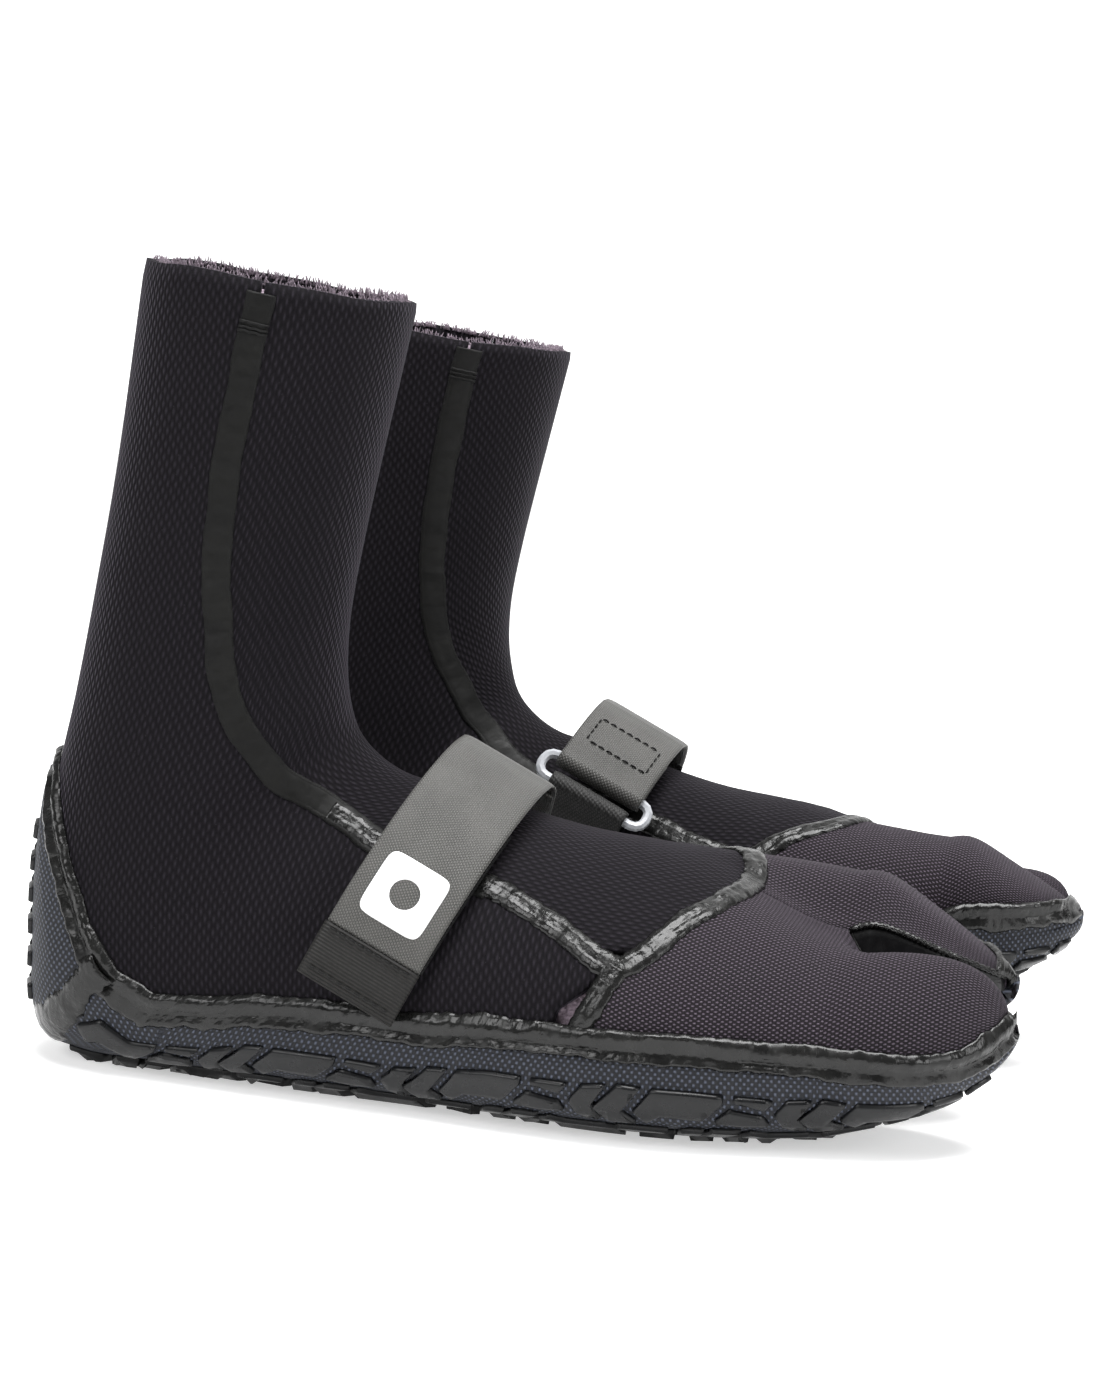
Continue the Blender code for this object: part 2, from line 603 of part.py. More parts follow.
def seams(boot):
    outer = np.array([locate(x, z, False) for x, z in OUTER_SEAM])
    inner = np.array([locate(x, z, True) for x, z in INNER_SEAM])
    outer[0, 0] = inner[0, 0] = COLLAR - .02
    ribbon(boot, "outer_tape", outer[:13], TAPE_WIDTH, SEAM_LIFT, TAPE, "tape", 20, (0, .975))
    ribbon(boot, "inner_tape", inner[:11], TAPE_WIDTH, SEAM_LIFT, TAPE, "tape", 20, (0, .965))
    loop = list(outer[12:]) + OUTER_FRONT[:-1] + [APEX] + INNER_FRONT[::-1][1:] + list(inner[:9:-1])
    ribbon(boot, "vamp_seam", loop, TAPE_WIDTH - 1, SEAM_LIFT, TAPE + .2, "seam_rubber", 28, (.02, .98))
    for name, side, mark, tape in (("outer", 0, OUTER_FRONT[0], outer), ("inner", 1, INNER_FRONT[0], inner)):
        end = (TOE_SEAM_SIDE_S, (.245, .755)[side])
        start = (mark[0] + .12, mark[1] + (-.026, .026)[side])
        ribbon(boot, f"{name}_toe_seam", [start, end], 5, SEAM_LIFT, TAPE, "seam_rubber", 6, (0, .62))
        curve = tape[:3]
        ribbon(boot, f"{name}_bartack", curve, TAPE_WIDTH - 1, SEAM_LIFT + TAPE + GAP, .5, "thread", 3,
               (.14, .2))


# ---- strap ------------------------------------------------------------------------------------

def strap_point(along, y, h):
    """Strap coordinates to boot coordinates."""
    cosine, sine = math.cos(STRAP_TILT), math.sin(STRAP_TILT)
    return np.stack([along * cosine + h * sine, y + 0 * along, h * cosine - along * sine], -1)


def smooth_path(path, steps):
    path = np.array(path, float)
    return spline(path, np.linspace(0, len(path) - 1, steps))


def arc(centre, radius, start, end, steps):
    a = np.radians(np.linspace(start, end, steps))
    return [(centre[0] + radius * math.cos(t), centre[1] + radius * math.sin(t)) for t in a]


def web(boot, name, path, thick, along, colour, pivot=None):
    """Band of webbing: a centre line across the foot, extruded along the strap and thickened."""
    y, h = np.array(path, float).T
    sides = [strap_point(np.full(len(y), c), y, h) for c in along]
    origin = None if pivot is None else strap_point(np.array(STRAP_CENTRE), *pivot)
    made = build(boot, name, np.vstack(sides), quads(2, len(y)), colour, origin)
    shell = made.modifiers.new("thickness", "SOLIDIFY")
    shell.thickness = thick * MM
    shell.offset = 0
    shell.use_even_offset = True
    return made


def bearing(a, b):
    return math.degrees(math.atan2(b[1] - a[1], b[0] - a[0]))


def strap(boot):
    web(boot, "strap_flap", smooth_path(FLAP_PATH, 22), WEBBING, STRAP_ALONG, "webbing", CREST)
    pad = smooth_path([(y + (2.1 if y < -30 else 1.6), h - (.4 if y < -40 else 1.1))
                       for y, h in FLAP_PATH[4:]], 8)
    web(boot, "hook_pad", pad, .6, (STRAP_ALONG[0] + 1, STRAP_ALONG[1] - 1), "hook", CREST)
    web(boot, "pull_tab", smooth_path(TAB_PATH, 5), 1.8, STRAP_ALONG, "ribbon", CREST)
    radius = BAR_R + BAR_PLAY + WEBBING / 2
    lean = bearing(UPPER_BAR, LOWER_BAR)
    wrap = arc(UPPER_BAR, radius, lean + 100, lean - 86, 12)
    under = [(31.6, 120.0), (27.4, 124.8), (21.2, 128.4)]
    path = [tuple(p) for p in smooth_path(MEDIAL_PATH, 8)][:-1] + wrap + under
    web(boot, "strap_loop", path, WEBBING, STRAP_ALONG, "webbing", UPPER_BAR)
    tail = bearing(LOWER_BAR, ELASTIC_END)
    wrap = arc(LOWER_BAR, radius, tail + 266, tail + 94, 12)
    tail_out = (ELASTIC_END[0] + .85, ELASTIC_END[1])
    tail_in = (ELASTIC_END[0] - .85, ELASTIC_END[1])
    web(boot, "elastic_loop", [tail_in] + wrap + [tail_out], WEBBING, ELASTIC_ALONG, "elastic")
    ring(boot)
    grid_on_side(boot, "loop_pad", (58.5, 83.5), (86, 115), False, "hook")
    grid_on_side(boot, "anchor_patch", (59.5, 82.5), (95, 103), True, "ribbon")


def ring(boot):
    """Rectangular ring: a round bar bent round a rectangle with rounded corners."""
    upper, lower = np.array(UPPER_BAR), np.array(LOWER_BAR)
    middle, half = (upper + lower) / 2, np.linalg.norm(lower - upper) / 2
    down = (lower - upper) / (2 * half)
    corner = half - .6
    path = []
    for turn, (side, end) in enumerate(((1, 1), (-1, 1), (-1, -1), (1, -1))):
        for angle in np.radians(90 * turn + np.array([0, 30, 60, 90])):
            along = side * (RING_HALF - corner) + corner * math.cos(angle)
            fall = end * (half - corner) + corner * math.sin(angle)
            y, h = middle + down * fall
            path.append(strap_point(np.array(STRAP_CENTRE + along), y, h))
    pivot = place(strap_point(np.array(STRAP_CENTRE), *LOWER_BAR), boot == "left")
    path = (place(path, boot == "left") - pivot) * MM
    curve = bpy.data.curves.new(f"{boot}_ring", "CURVE")
    curve.dimensions = "3D"
    curve.bevel_depth = BAR_R * MM
    curve.bevel_resolution = 2
    line = curve.splines.new("POLY")
    line.points.add(len(path) - 1)
    for point, at in zip(line.points, path):
        point.co = (*at, 1)
    line.use_cyclic_u = True
    curve.materials.append(material("ring"))
    made = bpy.data.objects.new(f"{boot}_ring", curve)
    made.location = pivot * MM
    bpy.data.collections["neoprene_boots"].objects.link(made)


def grid_on_side(boot, name, along, heights, inner, colour):
    """Pad that follows the skin over a rectangle in strap coordinates."""
    cells = []
    for c in np.linspace(*along, 5):
        for h in np.linspace(*heights, 6):
            x, _, z = strap_point(np.array(c), 0, h)
            cells.append(locate(x, z, inner))
    s, u = np.array(cells).T
    near = SEAM_LIFT + TAPE + GAP
    patch(boot, name, s.reshape(5, 6), u.reshape(5, 6), near, near + PATCH, colour)


# ---- the pair ---------------------------------------------------------------------------------

def clear():
    for old in list(bpy.data.objects):
        bpy.data.objects.remove(old)
    for old in list(bpy.data.collections):
        bpy.data.collections.remove(old)
    made = bpy.data.collections.new("neoprene_boots")
    bpy.context.scene.collection.children.link(made)


def main():
    clear()
    for boot in ("right", "left"):
        instep_panel(boot)
        back_panel(boot)
        toe_cap(boot)
        toe_gusset(boot)
        lining(boot)
        outsole(boot)
        sole_band(boot)
        seams(boot)
        strap(boot)


main()
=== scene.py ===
"""Looks for a pair of split-toe neoprene boots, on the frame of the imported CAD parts.

Lengths are in millimetres until a mesh is written. Every boot is drawn as a right boot: x runs from
heel to toe, y towards the inner side and z up from the floor. The left boot is its mirror image.

The skin of a boot is one surface P(s, u): s counts the stations from the toe split (0) to the
collar, and falls to -1 at the tips of the two toe lobes; u runs round the foot, 0 at the bottom or
back, .25 on the outer side, .5 on top or in front and .75 on the inner side.
"""
import math
import random

import bmesh
import bpy
import numpy as np
from mathutils import Matrix, Vector


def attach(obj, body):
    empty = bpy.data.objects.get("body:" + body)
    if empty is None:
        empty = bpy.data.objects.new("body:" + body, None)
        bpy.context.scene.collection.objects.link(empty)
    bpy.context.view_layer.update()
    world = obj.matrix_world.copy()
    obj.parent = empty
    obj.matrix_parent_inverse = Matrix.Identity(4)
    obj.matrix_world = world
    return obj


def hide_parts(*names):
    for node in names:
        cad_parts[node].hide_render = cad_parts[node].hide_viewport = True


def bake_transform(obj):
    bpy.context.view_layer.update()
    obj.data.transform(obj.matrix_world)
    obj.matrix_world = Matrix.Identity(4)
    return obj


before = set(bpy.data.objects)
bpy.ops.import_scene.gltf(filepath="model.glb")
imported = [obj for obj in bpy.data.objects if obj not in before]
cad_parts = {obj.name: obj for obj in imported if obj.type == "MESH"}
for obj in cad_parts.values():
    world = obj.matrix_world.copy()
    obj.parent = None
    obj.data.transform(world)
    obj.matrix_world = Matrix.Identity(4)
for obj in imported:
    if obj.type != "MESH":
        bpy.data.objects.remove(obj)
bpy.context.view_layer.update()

MM = 0.001
HALF_SPACING = 60.0
LEFT_LEAD = 19.0
LEFT_SINK = 13.0
SINK_FROM, SINK_TO = 100.0, 216.0
# The left toes lie higher and further back: where it starts, run, rise, drawn back
LEFT_TOE_FROM, LEFT_TOE_RUN, LEFT_TOE_UP, LEFT_TOE_BACK = 200.0, 60.0, 5.5, 4.5
# Its four smaller toes lie closer together: run, share, level they close in on, drawn back
PINCH_RUN, PINCH, PINCH_LEVEL, PINCH_BACK = 25.0, .28, 36.0, 6.0
# The soles are this much deeper than the skin allows for, over the lowest part of a boot
DEEPER, DEEPER_OVER = 3.5, 16.0
CENTRE_X = 134.110

# Stations: front point x, z; back point x, z; half width; middle y low, middle y high;
# level of the widest part; roundness power below it and above it.
STATIONS = np.array([
    (222, 64, 222, 5.0, 43, 1, 20, .40, 3.2, 2.3),
    (205, 66, 205, 4.4, 47, 1, 17, .38, 3.6, 2.3),
    (187, 67.5, 185, 4.4, 49.5, 0, 14, .36, 4.0, 2.2),
    (167, 69.5, 163, 4.4, 48.5, -2, 11, .36, 4.0, 2.1),
    (149, 71.5, 138, 4.4, 45, -3, 9, .36, 3.8, 2.1),
    (133, 75, 112, 4.4, 41, -3, 7, .36, 3.6, 2.1),
    (118, 79, 85, 4.4, 38, -3, 5, .36, 3.4, 2.1),
    (105, 81.5, 57, 4.4, 36.5, -2, 4, .36, 3.2, 2.1),
    (94, 84, 30, 4.4, 36, -1, 3, .38, 3.0, 2.1),
    (85.5, 89, 6, 4.5, 35.5, 0, 2, .42, 2.6, 2.1),
    (79.5, 96, -6.2, 9, 35, 0, 1, .46, 2.4, 2.1),
    (76.5, 106, -8.7, 28, 34.5, 0, 0, .5, 2.2, 2.1),
    (75.5, 117, -9, 50, 34, 0, 0, .5, 2.1, 2.1),
    (76, 130, -6.5, 75, 33.5, 0, 0, .5, 2.1, 2.1),
    (78.5, 148, -1.5, 101, 33.5, 0, 0, .5, 2.1, 2.1),
    (82, 168, 3.5, 132, 34, 0, 0, .5, 2.1, 2.1),
    (86.5, 192, 9, 170, 35, 0, 0, .5, 2.1, 2.1),
    (91, 216, 15, 226, 36.5, 0, 0, .5, 2.1, 2.1),
])
COLLAR = len(STATIONS) - 1
CROTCH_X, CROTCH_Y = 222.0, 5.0
# The top falls towards the split: depth, width on the outer and inner side, run in stations
DENT_DEPTH, DENT_WIDTH, DENT_RUN = 12.0, (26.0, 9.0), 2.6
LOBE_LENGTH = (47.0, 44.0)
LOBE_SHIFT = (8.0, -2.0)
# How the middle of the outer lobe climbs, how it thins, and how its edge dips beside the split;
# the dip is deeper and wider than in the CAD, to show more of the split
OUTER_CLIMB, OUTER_RATE, OUTER_TAPER = 4.0, 3.5, 2.0
SPLIT_DIP, DIP_FROM, DIP_WIDTH, DIP_EASE = 15.0, .18, 17.0, .2
# How the middle of the big toe climbs, and how it thins
INNER_CLIMB, INNER_RATE, INNER_THIN, INNER_EASE, INNER_TAPER = 8.0, 9.0, 1.45, .1, 5
LOBE_EDGE_Y = (-42.0, 44.0)
LOBE_PART, PART_OVER, PART_WIDTH = 1.0, .1, 6.0
NARROW, NARROW_POWER = 2.4, .6
TIP_CLOSED = -.86

UPPER = 3.5
GUSSET = 2.0
GAP = 0.3
SEAM_LIFT = 0.6
SOLE = 4.4
SOLE_EDGE = 2.2
FLAT_BELOW = 1.2
TAPE = 0.6
TAPE_WIDTH = 8.0
SEAM_U, SEAM_S = .0024, .09
PATCH = 0.8

# Top edge of the rubber band round the sole and top edge of the sole itself, as x, z
BAND_LINE = [(-4.4, 87), (-1, 78), (3, 66), (8, 54), (15, 40), (24, 28), (35, 22.5), (50, 23.5),
             (70, 26), (92, 26.5), (114, 26), (136, 28.5), (190, 29), (217, 28), (240, 27),
             (250, 26.5), (258, 28), (264, 31), (268, 35), (272, 41)]
SOLE_LINE = [(-5.9, 79), (-4, 70), (-.5, 60), (4, 49), (10, 35.5), (18, 22.5), (31, 15), (50, 16),
             (70, 18.5), (92, 19), (114, 18.5), (136, 21), (190, 21.5), (217, 20.5), (240, 20),
             (250, 20), (258, 21), (264, 24), (268, 28), (272, 34)]
INNER_FROM = 185
INNER_BAND_LINE = [(196, 31), (206, 36), (217, 43), (229, 47), (240, 47), (250, 45.5), (258, 44),
                   (264, 42)]
INNER_SOLE_LINE = [(196, 23.5), (206, 29), (217, 36.5), (229, 40.5), (240, 40.5), (250, 39.5),
                   (258, 38.5), (264, 37.5)]
BAND_TOP_S, SOLE_TOP_S = 13.45, 13.1

# Seams on the outer and inner side, from the collar down to the strap and on to the toe, as x, z
OUTER_SEAM = [(59, 221), (54, 193), (50, 169), (48, 144), (49, 122), (51, 109), (57, 95), (65, 85),
              (75, 79), (86, 73), (96, 68), (113, 64), (131, 59), (149, 52)]
INNER_SEAM = [(68, 220), (64, 198), (60, 171), (58, 144), (59, 122), (65, 102), (75, 86), (85, 76),
              (96, 71), (113, 67), (129, 63), (145, 58)]
# The same seams round the front of the instep panel, as s, u
OUTER_FRONT = [(2.9, .312), (2.25, .366), (1.8, .41), (1.6, .455)]
INNER_FRONT = [(3.2, .64), (2.6, .59), (1.95, .54), (1.66, .495)]
APEX = (1.56, .475)
TOE_SEAM_SIDE_S, TOE_SEAM_BOTTOM_S = 3.5, 3.7

# The strap is a straight extrusion along a line that falls towards the toe
STRAP_TILT = math.radians(26.0)
STRAP_ALONG = (56.5, 85.5)
STRAP_CENTRE = 71.0
WEBBING = 1.3
# Strap centre lines across the foot, as y, h
FLAP_PATH = [(7.8, 134), (-2, 133), (-12, 129.4), (-21.5, 123.6), (-30.5, 115.3), (-38, 105),
             (-43.4, 94), (-46.2, 83.4)]
MEDIAL_PATH = [(8.2, 134), (15, 132.7), (22, 130), (28.5, 126.2), (34, 121.6)]
UPPER_BAR = (35.6, 117.8)
LOWER_BAR = (40.1, 111.2)
BAR_R = 1.5
BAR_PLAY = 0.4
ELASTIC_END = (39.5, 100.5)
ELASTIC_ALONG = (58.0, 84.0)

# ---- the skin surface -------------------------------------------------------------------------

def spline(table, at):
    """Catmull-Rom through the rows of a table, at fractional row numbers."""
    last = len(table) - 1
    at = np.clip(at, 0, last)
    i = np.minimum(at.astype(int), last - 1)
    t = (at - i)[..., None]
    rows = np.vstack([2 * table[0] - table[1], table, 2 * table[-1] - table[-2]])
    a, b, c, d = rows[i], rows[i + 1], rows[i + 2], rows[i + 3]
    return b + .5 * t * (c - a + t * (2 * a - 5 * b + 4 * c - d + t * (3 * (b - c) + d - a)))


def tube(s, u):
    """Skin of the foot and shaft behind the toe split."""
    fx, fz, bx, bz, half, y_low, y_high, level, p_low, p_high = np.moveaxis(spline(STATIONS, s), -1, 0)
    sine, cosine = np.sin(2 * np.pi * u), np.cos(2 * np.pi * u)
    low = cosine > 0
    power = np.where(low, p_low, p_high)
    reach = np.abs(cosine) ** (2 / power)
    rise = np.where(low, level * (1 - reach), level + (1 - level) * reach)
    skew = (y_high - y_low) * np.where(low, 0, reach) ** 1.5
    y = y_low + skew - np.sign(sine) * np.abs(sine) ** (2 / power) * half
    near = np.clip(1 - s / DENT_RUN, 0, 1)
    width = np.where(y < CROTCH_Y, *DENT_WIDTH)
    dent = DENT_DEPTH * near ** 2 * (3 - 2 * near) * np.exp(-((y - CROTCH_Y) / width) ** 2)
    z = bz + (fz - bz) * rise - np.where(low, 0, dent)
    return np.stack([bx + (fx - bx) * rise, y, z], -1)


def crotch_u(low, high):
    """Where the section at the split meets the plane between the two lobes."""
    u = np.linspace(low, high, 2001)
    y = tube(np.zeros_like(u), u)[:, 1]
    return u[np.argmin(np.abs(y - CROTCH_Y))]


U_BOTTOM = crotch_u(-.1, .1)
U_TOP = crotch_u(.42, .58)
CROTCH_Z = tube(np.zeros(2), np.array([U_BOTTOM, U_TOP]))[:, 2]


def lobe(side, t, u):
    """Skin of one toe lobe: side 0 for the four toes, 1 for the big toe; t is 1 at the tip."""
    root = tube(np.zeros_like(t), u)
    sign = (-1, 1)[side]
    y_mid = (LOBE_EDGE_Y[side] + CROTCH_Y) / 2
    z_mid = CROTCH_Z.mean()
    share = np.clip((root[..., 2] - CROTCH_Z[0]) / (CROTCH_Z[1] - CROTCH_Z[0]), 0, 1)
    from_split = np.abs(root[..., 1] - CROTCH_Y)
    if side == 0:
        flat = (1 - t ** (OUTER_TAPER + 2 * share)) ** .5
        climb = OUTER_CLIMB * (1 - np.exp(-OUTER_RATE * t))
        past = np.clip((t - DIP_FROM) / (1 - DIP_FROM), 0, 1)
        bump = np.minimum(t / DIP_FROM, 1) * (1 - DIP_EASE * past ** 2) * flat ** .5
        climb = climb - SPLIT_DIP * bump * share ** 2 * np.exp(-(from_split / DIP_WIDTH) ** 2)
    else:
        flat = np.exp(-INNER_THIN * t ** 2 / (t + INNER_EASE)) * (1 - t ** INNER_TAPER) ** .5
        climb = INNER_CLIMB * (1 - np.exp(-INNER_RATE * t ** 2 / (t + INNER_EASE)))
    parted = LOBE_PART * np.clip(t / PART_OVER, 0, 1) * np.exp(-from_split / PART_WIDTH)
    narrow = (1 - t ** NARROW) ** NARROW_POWER
    y = y_mid + LOBE_SHIFT[side] * t ** 2 + (root[..., 1] - y_mid) * narrow + sign * parted
    z = z_mid + climb + (root[..., 2] - z_mid) * flat
    return np.stack([CROTCH_X + LOBE_LENGTH[side] * t, y, z], -1)


def skin(s, u, side=None):
    """The whole skin. side says which lobe a point on the crotch line belongs to."""
    s, u = np.broadcast_arrays(np.asarray(s, float), np.asarray(u, float))
    points = tube(np.maximum(s, 0), u)
    turn = np.mod(u - U_BOTTOM, 1)
    for k in (0, 1):
        mine = (turn > U_TOP - U_BOTTOM) == bool(k) if side is None else np.full(s.shape, side == k)
        mine = mine & (s < 0)
        if mine.any():
            points[mine] = lobe(k, -s[mine], u[mine])
    return points


def slopes(s, u, side=None):
    ds, du = .03, .003
    back, fore = np.maximum(s - ds, -.995), np.minimum(s + ds, COLLAR)
    along = (skin(fore, u, side) - skin(back, u, side)) / (fore - back)[..., None]
    low, high = u - du, u + du
    if side is not None:
        ends = ((U_BOTTOM, U_TOP), (U_TOP, 1 + U_BOTTOM))[side]
        low = np.where(s < .1, np.maximum(low, ends[0]), low)
        high = np.where(s < .1, np.minimum(high, ends[1]), high)
    around = (skin(s, high, side) - skin(s, low, side)) / (high - low)[..., None]
    return along, around


def normal(s, u, side=None):
    along, around = slopes(s, u, side)
    n = np.cross(around, along)
    return n / np.linalg.norm(n, axis=-1, keepdims=True)


def off(s, u, distance, side=None):
    """Point at a distance outwards from the skin."""
    s, u = np.broadcast_arrays(np.asarray(s, float), np.asarray(u, float))
    distance = np.asarray(distance, float)[..., None]
    return skin(s, u, side) + distance * normal(s, u, side)


def locate(x, z, inner):
    """s, u of the point of the outer or inner side seen at x, z from the side."""
    at = np.linspace(0, COLLAR, 1701)
    rows = spline(STATIONS, at)
    front, back = rows[:, 0:2], rows[:, 2:4]
    d, e = front - back, np.array([x, z]) - back
    miss = np.abs(d[:, 0] * e[:, 1] - d[:, 1] * e[:, 0]) / np.linalg.norm(d, axis=1)
    rise = (d * e).sum(1) / (d * d).sum(1)
    miss[(rise < -.02) | (rise > 1.02)] = np.inf
    k = np.argmin(miss)
    level, p_low, p_high = rows[k, 7:10]
    r = np.clip(rise[k], 0, 1)
    if r < level:
        cosine = (1 - r / level) ** (p_low / 2)
    else:
        cosine = -((r - level) / (1 - level)) ** (p_high / 2)
    u = math.acos(cosine) / (2 * math.pi)
    return at[k], (1 - u if inner else u)


def edge(s, line, inner):
    """u where row s of the skin climbs past a line x, z on one side."""
    if inner:
        raised = INNER_BAND_LINE if line is BAND_LINE else INNER_SOLE_LINE
        line = [spot for spot in line if spot[0] < INNER_FROM] + raised
    xs, zs = np.array(line).T
    ends = (U_BOTTOM, U_TOP) if not inner else (1 + U_BOTTOM, U_TOP)
    if s >= 0:
        ends = (0, .5) if not inner else (1, .5)
    u = np.linspace(ends[0], ends[1], 241)
    p = skin(np.full_like(u, s), u, int(inner))
    over = p[:, 2] - np.interp(p[:, 0], xs, zs)
    hit = np.nonzero((over[1:] >= 0) & (over[:-1] < 0))[0]
    if not len(hit):
        return ends[1] if over[0] < 0 else ends[0]
    k = hit[0]
    return u[k] + (u[k + 1] - u[k]) * over[k] / (over[k] - over[k + 1])


# ---- seams ------------------------------------------------------------------------------------

OUTER_EDGE = np.array(OUTER_FRONT[::-1] + [locate(x, z, False) for x, z in OUTER_SEAM[::-1]])
INNER_EDGE = np.array(INNER_FRONT[::-1] + [locate(x, z, True) for x, z in INNER_SEAM[::-1]])


def outer_u(s):
    return np.interp(s, OUTER_EDGE[:, 0], OUTER_EDGE[:, 1])


def inner_u(s):
    return np.interp(s, INNER_EDGE[:, 0], INNER_EDGE[:, 1])


def toe_seam_s(u):
    """Back edge of the toe cap as s for each u round the foot."""
    points = [(0, TOE_SEAM_BOTTOM_S), (.25, TOE_SEAM_SIDE_S)] + [(v, s) for s, v in OUTER_FRONT]
    points += [(APEX[1], APEX[0])] + [(v, s) for s, v in INNER_FRONT[::-1]]
    points += [(.75, TOE_SEAM_SIDE_S), (1, TOE_SEAM_BOTTOM_S)]
    us, ss = np.array(points).T
    return np.interp(np.mod(u, 1), us, ss)


# ---- meshes -----------------------------------------------------------------------------------

def settle_left(p):
    """How the left boot's toes lie differently, in boot coordinates."""
    ahead = np.clip((p[..., 0] - LEFT_TOE_FROM) / LEFT_TOE_RUN, 0, None)
    past_split = np.clip((p[..., 0] - CROTCH_X) / PINCH_RUN, 0, 1)
    outer = np.clip(CROTCH_Y + .5 - p[..., 1], 0, 1)
    pinch = outer * past_split ** 2 * (3 - 2 * past_split)
    p[..., 2] += (PINCH_LEVEL - p[..., 2]) * PINCH * pinch + LEFT_TOE_UP * ahead ** 2
    p[..., 0] -= LEFT_TOE_BACK * ahead ** 2 + PINCH_BACK * pinch * past_split


def place(points, left):
    """Boot coordinates to the pair's frame, in millimetres."""
    p = np.array(points, float)
    deeper = DEEPER * np.clip(p[..., 2] / DEEPER_OVER, 0, 1)
    if left:
        settle_left(p)
        sunk = np.clip((p[..., 2] - SINK_FROM) / (SINK_TO - SINK_FROM), 0, None)
        p[..., 2] -= LEFT_SINK * sunk
        p[..., 0] += LEFT_LEAD
        p[..., 1] = HALF_SPACING - p[..., 1]
    else:
        p[..., 1] -= HALF_SPACING
    p[..., 0] -= CENTRE_X
    p[..., 2] += deeper
    return p


def at(boot, point):
    """One point of a boot, in metres in the pair's frame."""
    return tuple(float(v) * MM for v in place(point, boot == "left"))


def add(boot, name, points, faces, uv, look, body, nodes=()):
    """One piece of a boot: closed mesh, uv in millimetres, material, body and the nodes it stands for."""
    mesh = bpy.data.meshes.new(f"{boot}_{name}")
    mesh.from_pydata((place(points, boot == "left") * MM).tolist(), [], faces)
    layer = mesh.uv_layers.new(name="mm")
    corners = np.zeros(len(mesh.loops), int)
    mesh.loops.foreach_get("vertex_index", corners)
    layer.data.foreach_set("uv", np.asarray(uv, np.float32)[corners].ravel())
    work = bmesh.new()
    work.from_mesh(mesh)
    bmesh.ops.recalc_face_normals(work, faces=work.faces)
    work.to_mesh(mesh)
    work.free()
    mesh.shade_smooth()
    mesh.materials.append(LOOKS[look])
    made = bpy.data.objects.new(f"{boot}_{name}_look", mesh)
    bpy.context.scene.collection.objects.link(made)
    if isinstance(body, str):
        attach(made, f"{boot}_{body}")
    else:
        at(boot, body[2])
        at(boot, body[3])
        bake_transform(made)
    if nodes:
        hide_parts(*(f"{boot}_{node}" for node in nodes))
    SLOTS.get(look, look)
    return made


def thicken(layers, uv, faces):
    """Closed shell through several layers of one open patch, outermost first."""
    count = len(layers[0])
    used = set()
    for face in faces:
        used.update(zip(face, face[1:] + face[:1]))
    rims = [(a, b) for a, b in used if (b, a) not in used]
    last = count * (len(layers) - 1)
    made = list(faces) + [[i + last for i in face[::-1]] for face in faces]
    for k in range(len(layers) - 1):
        made += [[b + count * k, a + count * k, a + count * (k + 1), b + count * (k + 1)] for a, b in rims]
    ring_uv = np.array(uv)
    return np.vstack(layers), np.vstack([ring_uv] * len(layers)), made


def quads(rows, cols):
    return [[i * cols + j, i * cols + j + 1, (i + 1) * cols + j + 1, (i + 1) * cols + j]
            for i in range(rows - 1) for j in range(cols - 1)]


def measures():
    """Distances along and round the skin on a table of s, u."""
    s, u = np.meshgrid(np.linspace(0, COLLAR, 137), np.linspace(-.3, 1.5, 433), indexing="ij")
    p = skin(s, u)
    run = np.linalg.norm(np.diff(p, axis=0), axis=2)
    girth = np.linalg.norm(np.diff(p, axis=1), axis=2)
    run = np.vstack([np.zeros((1, run.shape[1])), np.cumsum(run, axis=0)])
    girth = np.hstack([np.zeros((girth.shape[0], 1)), np.cumsum(girth, axis=1)])
    middle = np.argmin(np.abs(u[0] - .25))
    return run, girth - girth[:, middle:middle + 1]


RUN, GIRTH = measures()


def cloth_uv(s, u):
    """Even cloth coordinates in millimetres for points of the skin."""
    s, u = np.broadcast_arrays(np.asarray(s, float), np.asarray(u, float))
    row = np.clip(s, 0, COLLAR) / COLLAR * (RUN.shape[0] - 1)
    col = (u + .3) / 1.8 * (RUN.shape[1] - 1)
    i = np.clip(row.astype(int), 0, RUN.shape[0] - 2)
    j = np.clip(col.astype(int), 0, RUN.shape[1] - 2)
    a, b = row - i, col - j
    found = []
    for table in (GIRTH, RUN):
        low = table[i, j] * (1 - b) + table[i, j + 1] * b
        high = table[i + 1, j] * (1 - b) + table[i + 1, j + 1] * b
        found.append(low * (1 - a) + high * a)
    found[1] = found[1] + np.minimum(s, 0) * LOBE_LENGTH[0]
    return np.stack(found, -1)


def ring_uv(s, u):
    """Cloth coordinates whose rows follow the stations: girth, and run up the middle of the panel."""
    return np.stack([cloth_uv(s, u)[..., 0], cloth_uv(s, np.full(np.shape(u), PANEL_MIDDLE))[..., 1]], -1)


HEEL_ROUND, HEEL_REACH, PANEL_MIDDLE = 36.0, 38.0, .36


def wrap_uv(points):
    """Cloth coordinates for the panel that wraps the heel: round it, and up."""
    table = np.array(STATIONS)[8:, 2:4]
    back = np.interp(points[:, 2], table[:, 1], table[:, 0])
    depth = points[:, 0] - back
    angle = np.arctan2(np.abs(points[:, 1]), np.maximum(HEEL_REACH - depth, .01))
    run = np.where(depth < HEEL_REACH, angle * HEEL_ROUND, depth - HEEL_REACH + HEEL_ROUND * math.pi / 2)
    return np.stack([np.sign(points[:, 1]) * run, points[:, 2]], -1)


